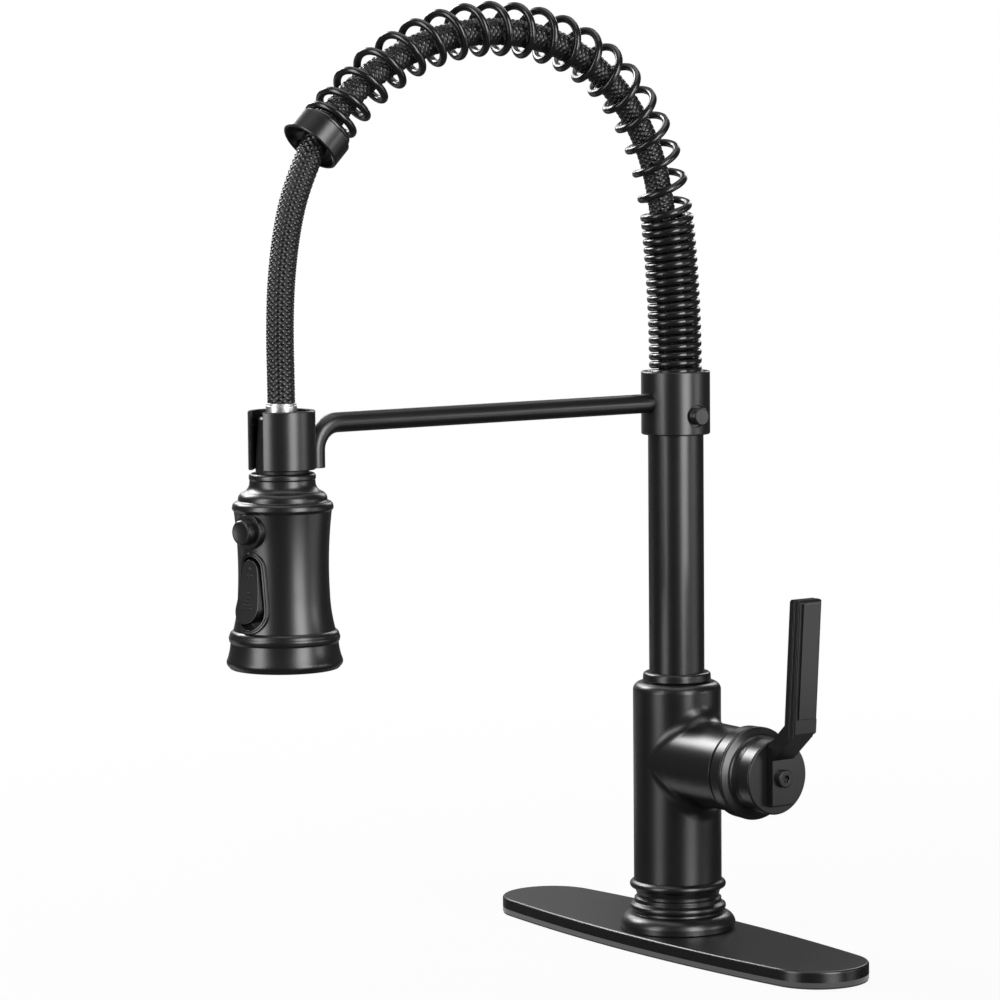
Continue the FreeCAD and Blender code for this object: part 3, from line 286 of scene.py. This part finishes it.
def noise(nodes, links, place, scale, detail=2.0):
    node = nodes.new("ShaderNodeTexNoise")
    feed(links, place, node.inputs["Vector"])
    feed(links, scale, node.inputs["Scale"])
    feed(links, detail, node.inputs["Detail"])
    return node.outputs["Fac"]


def relief(nodes, links, height, strength, depth, normal=None):
    """The surface's normal with fine relief on it."""
    node = nodes.new("ShaderNodeBump")
    node.inputs["Strength"].default_value = strength
    node.inputs["Distance"].default_value = depth
    links.new(height, node.inputs["Height"])
    if normal is not None:
        links.new(normal, node.inputs["Normal"])
    return node.outputs["Normal"]


def new_material(name):
    """A material, its nodes and links, and its shader."""
    material = bpy.data.materials.new(name)
    material.use_nodes = True
    tree = material.node_tree
    return material, tree.nodes, tree.links, tree.nodes["Principled BSDF"]


def grey(value, blue=1.03):
    return (value, value, value * blue, 1)


# Camera and studio
def make_camera():
    data = bpy.data.cameras.new("camera")
    data.lens = CAMERA_LENS
    data.sensor_width = 36.0
    data.clip_start = 0.05
    data.clip_end = 60.0
    camera = collection_link(bpy.data.objects.new("camera", data))
    aim = CAMERA_TURN + CAMERA_YAW
    level = math.cos(CAMERA_PITCH)
    forward = Vector((-math.sin(aim) * level, math.cos(aim) * level, -math.sin(CAMERA_PITCH)))
    side = Vector((math.cos(aim), math.sin(aim), 0))
    above = side.cross(forward)
    right = side * math.cos(CAMERA_ROLL) + above * math.sin(CAMERA_ROLL)
    up = above * math.cos(CAMERA_ROLL) - side * math.sin(CAMERA_ROLL)
    place = Vector((math.sin(CAMERA_TURN), -math.cos(CAMERA_TURN), 0)) * CAMERA_REACH
    place.z = CAMERA_HEIGHT
    turn = Matrix((right, up, -forward)).transposed()
    camera.matrix_world = Matrix.Translation(place) @ turn.to_4x4()
    bpy.context.scene.camera = camera


def seen_directly(nodes, links):
    """1 for rays from the camera and for mirrored and passed rays, 0 for the rest."""
    path = nodes.new("ShaderNodeLightPath").outputs
    seen = math_node(nodes, links, "MAXIMUM", path["Is Camera Ray"], path["Is Glossy Ray"])
    return math_node(nodes, links, "MAXIMUM", seen, path["Is Transmission Ray"])


def white_surroundings():
    """A sky that looks white and gives little light of its own."""
    world = bpy.data.worlds.new("white surroundings")
    bpy.context.scene.world = world
    world.use_nodes = True
    nodes, links = world.node_tree.nodes, world.node_tree.links
    nodes.clear()
    white = nodes.new("ShaderNodeBackground")
    white.inputs["Color"].default_value = (1, 1, 1, 1)
    strength = map_range(nodes, links, seen_directly(nodes, links), 0.0, 1.0, SKY_LIGHT, 1.0)
    links.new(strength, white.inputs["Strength"])
    out = nodes.new("ShaderNodeOutputWorld")
    links.new(white.outputs[0], out.inputs["Surface"])


def floor_material():
    """A pale floor that keeps a faint shadow near the faucet and is white further out.

    It is clear from below.
    """
    material, nodes, links, _ = new_material("pale floor")
    nodes.clear()
    matte = nodes.new("ShaderNodeBsdfDiffuse")
    matte.inputs["Color"].default_value = (FLOOR_COLOUR, FLOOR_COLOUR, FLOOR_COLOUR, 1)
    white = nodes.new("ShaderNodeEmission")
    white.inputs["Color"].default_value = (1, 1, 1, 1)
    clear = nodes.new("ShaderNodeBsdfTransparent")
    place = nodes.new("ShaderNodeNewGeometry")
    reach = nodes.new("ShaderNodeVectorMath")
    reach.operation = "LENGTH"
    links.new(place.outputs["Position"], reach.inputs[0])
    fade = map_range(nodes, links, reach.outputs["Value"],
                     FLOOR_FADE_START, FLOOR_FADE_END, FLOOR_NEAR_TONE, 1.0)
    share = math_node(nodes, links, "MULTIPLY", seen_directly(nodes, links), fade)
    top = shader_mix(nodes, links, share, matte.outputs[0], white.outputs[0])
    both = shader_mix(nodes, links, place.outputs["Backfacing"], top, clear.outputs[0])
    out = nodes.new("ShaderNodeOutputMaterial")
    links.new(both, out.inputs["Surface"])
    return material


def round_floor():
    rim = ring(FLOOR_RADIUS, 0, ROUND_CORNERS)
    floor = mesh_piece("floor", rim, [tuple(range(ROUND_CORNERS))], smooth=False)
    floor.data.materials.append(floor_material())


def dark_screen():
    """A dark, glossy table top and a dark wall round it, which the camera doesn't see.

    They keep the black pieces dark.
    """
    points, faces = [], []
    for radius, z in DARK_OUTLINE:
        points += ring(radius, z, ROUND_CORNERS)
    for low in (0, ROUND_CORNERS):
        faces += band(low, low + ROUND_CORNERS, ROUND_CORNERS)
    screen = mesh_piece("dark_screen", points, faces)
    material, _, _, shader = new_material("dark surroundings")
    shader.inputs["Base Color"].default_value = (DARK_COLOUR, DARK_COLOUR, DARK_COLOUR, 1)
    shader.inputs["Roughness"].default_value = DARK_ROUGHNESS
    screen.data.materials.append(material)
    screen.visible_camera = False
    screen.visible_shadow = False


def soft_lamp(name, turn, reach, height, wide, tall, radiance, aim_height):
    """A rectangular lamp round the faucet, as a row of LAMPS gives it."""
    data = bpy.data.lights.new(name, "AREA")
    data.shape = "RECTANGLE"
    data.size = wide
    data.size_y = tall
    data.energy = radiance * math.pi * wide * tall
    lamp = collection_link(bpy.data.objects.new(name, data))
    angle = CAMERA_TURN + math.radians(turn)
    lamp.location = (reach * math.sin(angle), -reach * math.cos(angle), height)
    aim = Vector((0, LAMP_AIM_Y, aim_height)) - lamp.location
    if wide < tall:
        aim.z = 0
    lamp.rotation_mode = "QUATERNION"
    lamp.rotation_quaternion = aim.to_track_quat("-Z", "Y")
    lamp.visible_camera = False


def light_studio():
    white_surroundings()
    round_floor()
    dark_screen()
    for lamp in LAMPS:
        soft_lamp(*lamp)


# Effects that several materials share
def new_group(name, inputs, outputs):
    """A node group with its inputs, as (name, kind, value), and its outputs, as (name, kind)."""
    group = bpy.data.node_groups.new(name, "ShaderNodeTree")
    for label, kind, value in inputs:
        made = group.interface.new_socket(name=label, in_out="INPUT", socket_type="NodeSocket" + kind)
        made.default_value = value
    for label, kind in outputs:
        group.interface.new_socket(name=label, in_out="OUTPUT", socket_type="NodeSocket" + kind)
    return group, group.nodes.new("NodeGroupInput"), group.nodes.new("NodeGroupOutput")


def coating_group():
    """The texture of a sprayed or moulded surface: fine grain, faint clouds in tone and gloss."""
    group, enter, leave = new_group(
        "coating",
        [("Colour", "Color", grey(0.02)), ("Cloud Colour", "Color", grey(0.03)),
         ("Gloss Low", "Float", 0.3), ("Gloss High", "Float", 0.4), ("Grain Scale", "Float", 3000.0)],
        [("Colour", "Color"), ("Roughness", "Float"), ("Grain", "Float")])
    nodes, links = group.nodes, group.links
    place = nodes.new("ShaderNodeTexCoord").outputs["Object"]
    grain = noise(nodes, links, place, enter.outputs["Grain Scale"])
    clouds = noise(nodes, links, place, CLOUD_SCALE, CLOUD_DETAIL)
    cloud_share = map_range(nodes, links, clouds, *CLOUD_RANGE)
    tone = colour_mix(nodes, links, cloud_share, enter.outputs["Colour"], enter.outputs["Cloud Colour"])
    speck = math_node(nodes, links, "MULTIPLY", grain, GRAIN_SHARE)
    blotch = math_node(nodes, links, "MULTIPLY", clouds, 1 - GRAIN_SHARE)
    share = math_node(nodes, links, "ADD", speck, blotch)
    gloss = map_range(nodes, links, share, *GLOSS_RANGE,
                      enter.outputs["Gloss Low"], enter.outputs["Gloss High"])
    links.new(tone, leave.inputs["Colour"])
    links.new(gloss, leave.inputs["Roughness"])
    links.new(grain, leave.inputs["Grain"])
    return group


def edge_group():
    """Eased edges: a normal that rounds sharp edges over, and a mask that is 1 on them."""
    group, enter, leave = new_group(
        "eased edges", [("Radius", "Float", 0.3 * MM)], [("Normal", "Vector"), ("Edge", "Float")])
    nodes, links = group.nodes, group.links
    bevel = nodes.new("ShaderNodeBevel")
    bevel.samples = EDGE_SAMPLES
    links.new(enter.outputs["Radius"], bevel.inputs["Radius"])
    match = nodes.new("ShaderNodeVectorMath")
    match.operation = "DOT_PRODUCT"
    links.new(bevel.outputs["Normal"], match.inputs[0])
    links.new(nodes.new("ShaderNodeNewGeometry").outputs["Normal"], match.inputs[1])
    mask = map_range(nodes, links, match.outputs["Value"], *EDGE_RANGE)
    links.new(bevel.outputs["Normal"], leave.inputs["Normal"])
    links.new(mask, leave.inputs["Edge"])
    return group


COATING = coating_group()
EASED_EDGES = edge_group()


def placed(nodes, group, **values):
    """A group in a material, with its own values. An underscore stands for a space in an input's name."""
    node = nodes.new("ShaderNodeGroup")
    node.node_tree = group
    for name, value in values.items():
        node.inputs[name.replace("_", " ")].default_value = value
    return node


# Materials
def coated(name, colour, cloud, gloss, grain_scale, grain_depth,
           edge_radius=0.3 * MM, edge_highlight_tone=0.03, specular=0.5):
    """A painted or moulded surface with grain, clouds and eased, slightly polished edges. The edges' colour
    is also mixed towards a lighter tone, a painted highlight.
    """
    material, nodes, links, shader = new_material(name)
    shader.inputs["Specular IOR Level"].default_value = specular
    skin = placed(nodes, COATING, Colour=colour, Cloud_Colour=cloud,
                  Gloss_Low=gloss[0], Gloss_High=gloss[1], Grain_Scale=grain_scale)
    edges = placed(nodes, EASED_EDGES, Radius=edge_radius)
    # Painted highlight: the edges' colour is mixed towards the lighter edge tone.
    painted_highlight = math_node(nodes, links, "MULTIPLY", edges.outputs["Edge"], EDGE_HIGHLIGHT_SHARE)
    tone = colour_mix(nodes, links, painted_highlight, skin.outputs["Colour"], grey(edge_highlight_tone))
    links.new(tone, shader.inputs["Base Color"])
    polish = math_node(nodes, links, "MULTIPLY", edges.outputs["Edge"], EDGE_POLISH)
    roughness = math_node(nodes, links, "SUBTRACT", skin.outputs["Roughness"], polish)
    links.new(roughness, shader.inputs["Roughness"])
    normal = relief(nodes, links, skin.outputs["Grain"], GRAIN_STRENGTH, grain_depth, edges.outputs["Normal"])
    links.new(normal, shader.inputs["Normal"])
    return material


def turned_metal(name, colour, gloss):
    """Bare metal with fine turning lines round it and a few dull patches."""
    material, nodes, links, shader = new_material(name)
    shader.inputs["Metallic"].default_value = 1.0
    dull = tuple(c * METAL_DULL for c in colour[:3]) + (1,)
    skin = placed(nodes, COATING, Colour=colour, Cloud_Colour=dull,
                  Gloss_Low=gloss[0], Gloss_High=gloss[1], Grain_Scale=METAL_GRAIN_SCALE)
    edges = placed(nodes, EASED_EDGES, Radius=METAL_EDGE)
    stretch = nodes.new("ShaderNodeMapping")
    stretch.inputs["Scale"].default_value = TURNING_STRETCH
    links.new(nodes.new("ShaderNodeTexCoord").outputs["Object"], stretch.inputs["Vector"])
    lines = noise(nodes, links, stretch.outputs[0], TURNING_SCALE)
    links.new(skin.outputs["Colour"], shader.inputs["Base Color"])
    links.new(skin.outputs["Roughness"], shader.inputs["Roughness"])
    normal = relief(nodes, links, lines, TURNING_STRENGTH, TURNING_DEPTH, edges.outputs["Normal"])
    links.new(normal, shader.inputs["Normal"])
    return material


def named_attribute(nodes, name):
    node = nodes.new("ShaderNodeAttribute")
    node.attribute_name = name
    return node.outputs["Fac"]


def braid_material():
    """Woven nylon: each yarn has fine filaments along it, and the hollows between yarns are painted darker, a
    painted shade.
    """
    material, nodes, links, shader = new_material("woven nylon")
    shader.inputs["Specular IOR Level"].default_value = BRAID_SPECULAR
    height = named_attribute(nodes, "yarn_height")
    # Painted shade: the colour gets darker where the yarn is low, between the yarns.
    tone = colour_mix(nodes, links, height, grey(BRAID_SHADE_AND_YARN_TONES[0]), grey(BRAID_SHADE_AND_YARN_TONES[1]))
    links.new(tone, shader.inputs["Base Color"])
    links.new(map_range(nodes, links, height, 0.0, 1.0, *BRAID_ROUGHNESS), shader.inputs["Roughness"])
    strand = nodes.new("ShaderNodeUVMap")
    strand.uv_map = "yarns"
    across = nodes.new("ShaderNodeSeparateXYZ")
    links.new(strand.outputs["UV"], across.inputs[0])
    lines = []
    for axis in ("X", "Y"):
        turns = math_node(nodes, links, "MULTIPLY", across.outputs[axis], 2 * math.pi * YARN_FILAMENTS)
        lines.append(math_node(nodes, links, "SINE", turns))
    filament = nodes.new("ShaderNodeMix")
    links.new(named_attribute(nodes, "left_yarn_on_top"), filament.inputs["Factor"])
    links.new(lines[1], filament.inputs[2])
    links.new(lines[0], filament.inputs[3])
    normal = relief(nodes, links, filament.outputs[0], FILAMENT_STRENGTH, FILAMENT_DEPTH)
    links.new(normal, shader.inputs["Normal"])
    return material


def make_materials():
    """The finishes by their slot. Gloss is the least and the greatest roughness."""
    black_coat = {"colour": grey(0.0055), "cloud": grey(0.007), "grain_scale": 2600.0,
                  "grain_depth": 0.004 * MM, "specular": 1.0}
    return {
        "matte_black": coated(
            "satin black coat", gloss=(0.3, 0.33), edge_radius=0.45 * MM, **black_coat),
        "fine_black": coated(
            "satin black coat with fine edges", gloss=(0.28, 0.31), edge_radius=0.02 * MM, **black_coat),
        "black_spring": coated(
            "coated spring wire", grey(0.007), grey(0.009), gloss=(0.22, 0.25), grain_scale=3200.0,
            grain_depth=0.006 * MM, edge_radius=0.05 * MM, specular=0.94),
        "black_plastic": coated(
            "black moulded plastic", grey(0.011), grey(0.014), gloss=(0.38, 0.44), grain_scale=2200.0,
            grain_depth=0.02 * MM, specular=0.62),
        "white_plastic": coated(
            "natural white plastic", (0.72, 0.72, 0.69, 1), (0.66, 0.65, 0.6, 1), gloss=(0.42, 0.52),
            grain_scale=1500.0, grain_depth=0.02 * MM, edge_highlight_tone=0.8),
        "braid": braid_material(),
        "rubber": coated(
            "black rubber", grey(0.018), grey(0.03), gloss=(0.6, 0.75), grain_scale=1800.0,
            grain_depth=0.05 * MM),
        "brass": turned_metal("machined brass", (0.66, 0.48, 0.2, 1), gloss=(0.22, 0.36)),
        "steel": turned_metal("bright steel", (0.86, 0.86, 0.85, 1), gloss=(0.34, 0.46)),
        "ceramic": coated(
            "ground ceramic", (0.84, 0.82, 0.78, 1), (0.78, 0.76, 0.7, 1), gloss=(0.2, 0.3),
            grain_scale=5000.0, grain_depth=0.01 * MM, edge_highlight_tone=0.85),
    }


def dress_nodes(materials):
    """Give each solid the material of its slot in the record. The lever's grooves need finer edges."""
    for part in frame["record"]["subparts"]:
        name = part["node"]
        finish = "fine_black" if name in FINE_EDGES else part["material_slot"]
        slots = frame["nodes"][name].data.materials
        slots.clear()
        slots.append(materials[finish])


# Hoses
def arc_walk(step):
    """Points along the hose's centre line in the riser and the spring, in millimetres as (y, z)."""
    half = 2 * math.atan2(HOSE_SHIFT, HOSE_SHIFT_RUN)
    bend = HOSE_SHIFT_RUN / 2 / math.sin(half)
    low = COLLAR_TOP - HOSE_COLLAR_RUN - HOSE_SHIFT_RUN
    shift = [(bend, math.degrees(half)), (-bend, math.degrees(half))]
    runs = [(0, low - HOSE_FOOT)] + shift + [(0, HOSE_COLLAR_RUN)] + HOSE_ARCS
    y, z, angle = 0.0, HOSE_FOOT, 0.0
    points = [(y, z)]
    for radius, amount in runs:
        length = abs(radius) * math.radians(amount) if radius else amount
        count = max(1, round(length / step))
        turn = math.copysign(math.radians(amount) / count, radius) if radius else 0.0
        chord = length / count
        for _ in range(count):
            angle += turn / 2
            y -= chord * math.sin(angle)
            z += chord * math.cos(angle)
            angle += turn / 2
            points.append((y, z))
    return points


def yarn_height(across, lift):
    """The height of one yarn: round across its width, and lower where it passes under another."""
    return abs(math.sin(math.pi * across)) ** 0.5 * (YARN_UNDER + (1 - YARN_UNDER) * max(lift, 0) ** 0.5)


def yarn_at(around, along):
    """The height of the weave, from 0 to 1, and whether the left-hand yarn is on top."""
    a = around + along
    b = around - along
    left = yarn_height(a, math.sin(math.pi * b) * (-1) ** math.floor(a))
    right = yarn_height(b, -math.sin(math.pi * a) * (-1) ** math.floor(b))
    return max(left, right), left >= right


def lay_yarns(mesh, reached, sides, sides_per_carrier):
    """Give the tube the yarns' own coordinates, which run on across the seam after its last side."""
    layer = mesh.uv_layers.new(name="yarns")
    for face in mesh.polygons:
        corners = [mesh.loops[i].vertex_index for i in face.loop_indices]
        face_sides = [corner % sides for corner in corners]
        wraps = 0 in face_sides and sides - 1 in face_sides
        for i, corner, side in zip(face.loop_indices, corners, face_sides):
            around = (sides if wraps and side == 0 else side) / sides_per_carrier
            along = reached[corner // sides] / HOSE_PICK
            layer.data[i].uv = (around + along, around - along)


def braided_tube(name, points, sides_per_carrier=YARN_SIDES):
    """A hose with its woven cover as real relief. All its bends lie in the plane X = 0."""
    reached = [0.0]
    for a, b in zip(points, points[1:]):
        reached.append(reached[-1] + (b - a).length)
    sides = HOSE_CARRIERS * sides_per_carrier
    across = Vector((1, 0, 0))
    core = HOSE_RADIUS - HOSE_YARN_HEIGHT
    spots, heights, left_on_top = [], [], []
    for row, centre in enumerate(points):
        ahead = points[min(row + 1, len(points) - 1)] - points[max(row - 1, 0)]
        outwards = across.cross(ahead.normalized())
        along = reached[row] / HOSE_PICK
        for side in range(sides):
            angle = 2 * math.pi * side / sides
            height, left = yarn_at(side / sides_per_carrier, along)
            reach = core + HOSE_YARN_HEIGHT * height
            spots.append(centre + (across * math.cos(angle) + outwards * math.sin(angle)) * reach)
            heights.append(height)
            left_on_top.append(float(left))
    faces = []
    for row in range(len(points) - 1):
        faces += band(row * sides, (row + 1) * sides, sides)
    last = (len(points) - 1) * sides
    faces += [tuple(range(sides - 1, -1, -1)), tuple(range(last, last + sides))]
    hose = mesh_piece(name, spots, faces)
    marks = hose.data.attributes
    marks.new("yarn_height", "FLOAT", "POINT").data.foreach_set("value", heights)
    marks.new("left_yarn_on_top", "FLOAT", "POINT").data.foreach_set("value", left_on_top)
    lay_yarns(hose.data, reached, sides, sides_per_carrier)
    return hose


def free_hose_line():
    """The free hose's centre line, as a smooth spline through its route."""
    data = bpy.data.curves.new("free_hose_line", "CURVE")
    data.dimensions = "3D"
    data.resolution_u = FREE_HOSE_RESOLUTION
    spline = data.splines.new("NURBS")
    spline.points.add(len(FREE_HOSE_ROUTE) - 1)
    for point, place in zip(spline.points, FREE_HOSE_ROUTE):
        point.co = (*place, 1)
    spline.order_u = 3
    spline.use_endpoint_u = True
    line = collection_link(bpy.data.objects.new("free_hose_line", data))
    bpy.context.view_layer.update()
    drawn = bpy.data.meshes.new_from_object(line.evaluated_get(bpy.context.evaluated_depsgraph_get()))
    points = [v.co.copy() for v in drawn.vertices]
    bpy.data.objects.remove(line)
    return points


def hose_in_neck():
    """The hose that rides in the riser and the spring."""
    line = [Vector((0, y * MM, z * MM)) for y, z in arc_walk(HOSE_STEP)]
    hose = braided_tube("braided_hose_in_neck", line)
    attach(hose, "neck")
    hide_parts("hose_in_neck")
    return hose


def free_hose():
    """The hose from the spring's cup to the spray head. It grows as the head is pulled down."""
    line = free_hose_line()
    hose = braided_tube("braided_free_hose", line)
    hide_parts("hose_free")
    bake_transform(hose, "neck", "hose_end", start=FREE_HOSE_ROUTE[0], end=FREE_HOSE_ROUTE[-1])
    return hose


def lower_hose():
    """The hose in the body and the shank, down to its connector."""
    rise = (LOWER_HOSE_TOP - LOWER_HOSE_END) * MM / LOWER_HOSE_ROWS
    line = [Vector((0, 0, LOWER_HOSE_END * MM + rise * i)) for i in range(LOWER_HOSE_ROWS + 1)]
    hose = braided_tube("braided_lower_hose", line, LOWER_YARN_SIDES)
    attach(hose, "body")
    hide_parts("hose_lower")
    return hose


def make_hoses(braid):
    for hose in (hose_in_neck(), free_hose(), lower_hose()):
        hose.data.materials.append(braid)


# Signs on the spray selector
def sign_spots():
    """A stream at the pad's upper end, and a spray of dots under a bar at its lower end."""
    spots = list(STREAM_SPOTS)
    for row, count in enumerate(DOT_ROWS):
        height = DOT_ROWS_TOP - row * DOT_ROW_STEP
        for i in range(count):
            spots.append(((i - (count - 1) / 2) * DOT_STEP, height, DOT_RADIUS, DOT_RADIUS))
    return spots + [SPRAY_BAR]


def raised_spot(place, normal, half_width, half_height):
    """The points of a low oval on a surface: its rings from the foot up, then its middle."""
    side = Vector((0, 0, 1)).cross(normal).normalized()
    up = normal.cross(side)
    points = []
    for reach, lift in SPOT_OUTLINE:
        for i in range(SPOT_CORNERS):
            angle = 2 * math.pi * i / SPOT_CORNERS
            beside = side * (math.cos(angle) * half_width * reach * MM)
            above = up * (math.sin(angle) * half_height * reach * MM)
            points.append(place + beside + above + normal * (lift * MM))
    return points + [place + normal * (SPOT_TOP * MM)]


def raised_spot_faces(base):
    """The faces of a raised spot whose first point has the number base."""
    rings = [base + i * SPOT_CORNERS for i in range(len(SPOT_OUTLINE))]
    faces = []
    for low, high in zip(rings, rings[1:]):
        faces += band(low, high, SPOT_CORNERS)
    middle = rings[-1] + SPOT_CORNERS
    for i in range(SPOT_CORNERS):
        faces.append((rings[-1] + i, rings[-1] + (i + 1) % SPOT_CORNERS, middle))
    return faces


def selector_marks(plastic):
    """Raised signs on the selector's pad, each spot set square on the pad's curved face."""
    pad = frame["nodes"]["rocker"]
    turned = Matrix.Rotation(CONTROL_ANGLE, 4, "Z")
    outwards = turned @ Vector((0, -1, 0))
    front = Vector((0, HEAD_Y, 0)) + outwards * SIGN_DISTANCE
    to_pad = pad.matrix_world.inverted()
    points, faces = [], []
    for across, height, half_width, half_height in sign_spots():
        start = front + turned @ Vector((across * MM, 0, 0)) + Vector((0, 0, height * MM))
        found, place, normal, _ = pad.ray_cast(to_pad @ start, to_pad.to_3x3() @ -outwards)
        if not found:
            continue
        normal = (pad.matrix_world.to_3x3() @ normal).normalized()
        faces += raised_spot_faces(len(points))
        points += raised_spot(pad.matrix_world @ place, normal, half_width, half_height)
    marks = mesh_piece("selector_marks", points, faces)
    marks.data.materials.append(plastic)
    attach(marks, "rocker")


# Shank
def thread_radius(angle, from_foot, from_top):
    """The radius of the thread's surface. The thread gets shallow at its ends, and its foot is cut back."""
    turns = from_foot / THREAD_PITCH - angle / (2 * math.pi)
    share = abs(2 * (turns - math.floor(turns)) - 1)
    cut = THREAD_DEPTH * (1 - min(max(share * THREAD_SLOPE - THREAD_ROOT, 0), 1))
    fade = min(1, from_foot / THREAD_FADE, from_top / THREAD_FADE)
    foot_cut = THREAD_DEPTH * THREAD_FOOT_CUT * (1 - min(1, from_foot / THREAD_FADE))
    return SHANK_RADIUS - max(cut * max(fade, THREAD_LEAST), foot_cut)


def thread_ring(z, low):
    """The points of one ring of the thread."""
    points = []
    for i in range(SHANK_SIDES):
        angle = 2 * math.pi * i / SHANK_SIDES
        radius = thread_radius(angle, z - low, THREAD_TOP - z)
        points.append((radius * math.cos(angle), radius * math.sin(angle), z))
    return points


def threaded_shank(brass):
    """The shank with its thread cut in, from under the plate to its lower end, and its bore."""
    low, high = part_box("shank")[0].z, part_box("shank")[1].z
    foot_radius = SHANK_RADIUS - THREAD_DEPTH - FOOT_CHAMFER
    points = []
    for radius, z in ((SHANK_BORE, low + BORE_CHAMFER), (SHANK_BORE + BORE_CHAMFER, low), (foot_radius, low)):
        points += ring(radius, z, SHANK_SIDES)
    rise = THREAD_PITCH / THREAD_ROWS
    for row in range(int((THREAD_TOP - low) / rise)):
        points += thread_ring(low + THREAD_START + row * rise, low)
    for radius, z in ((SHANK_RADIUS, THREAD_TOP), (SHANK_RADIUS, high), (SHANK_BORE, high)):
        points += ring(radius, z, SHANK_SIDES)
    faces = []
    for start in range(0, len(points), SHANK_SIDES):
        faces += band(start, (start + SHANK_SIDES) % len(points), SHANK_SIDES)
    shank = mesh_piece("threaded_shank", points, faces)
    shank.data.materials.append(brass)
    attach(shank, "body")
    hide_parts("shank")


def main():
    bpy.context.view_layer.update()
    make_camera()
    light_studio()
    materials = make_materials()
    dress_nodes(materials)
    make_hoses(materials["braid"])
    selector_marks(materials["black_plastic"])
    threaded_shank(materials["brass"])
    bpy.context.scene.view_settings.view_transform = "Standard"


main()
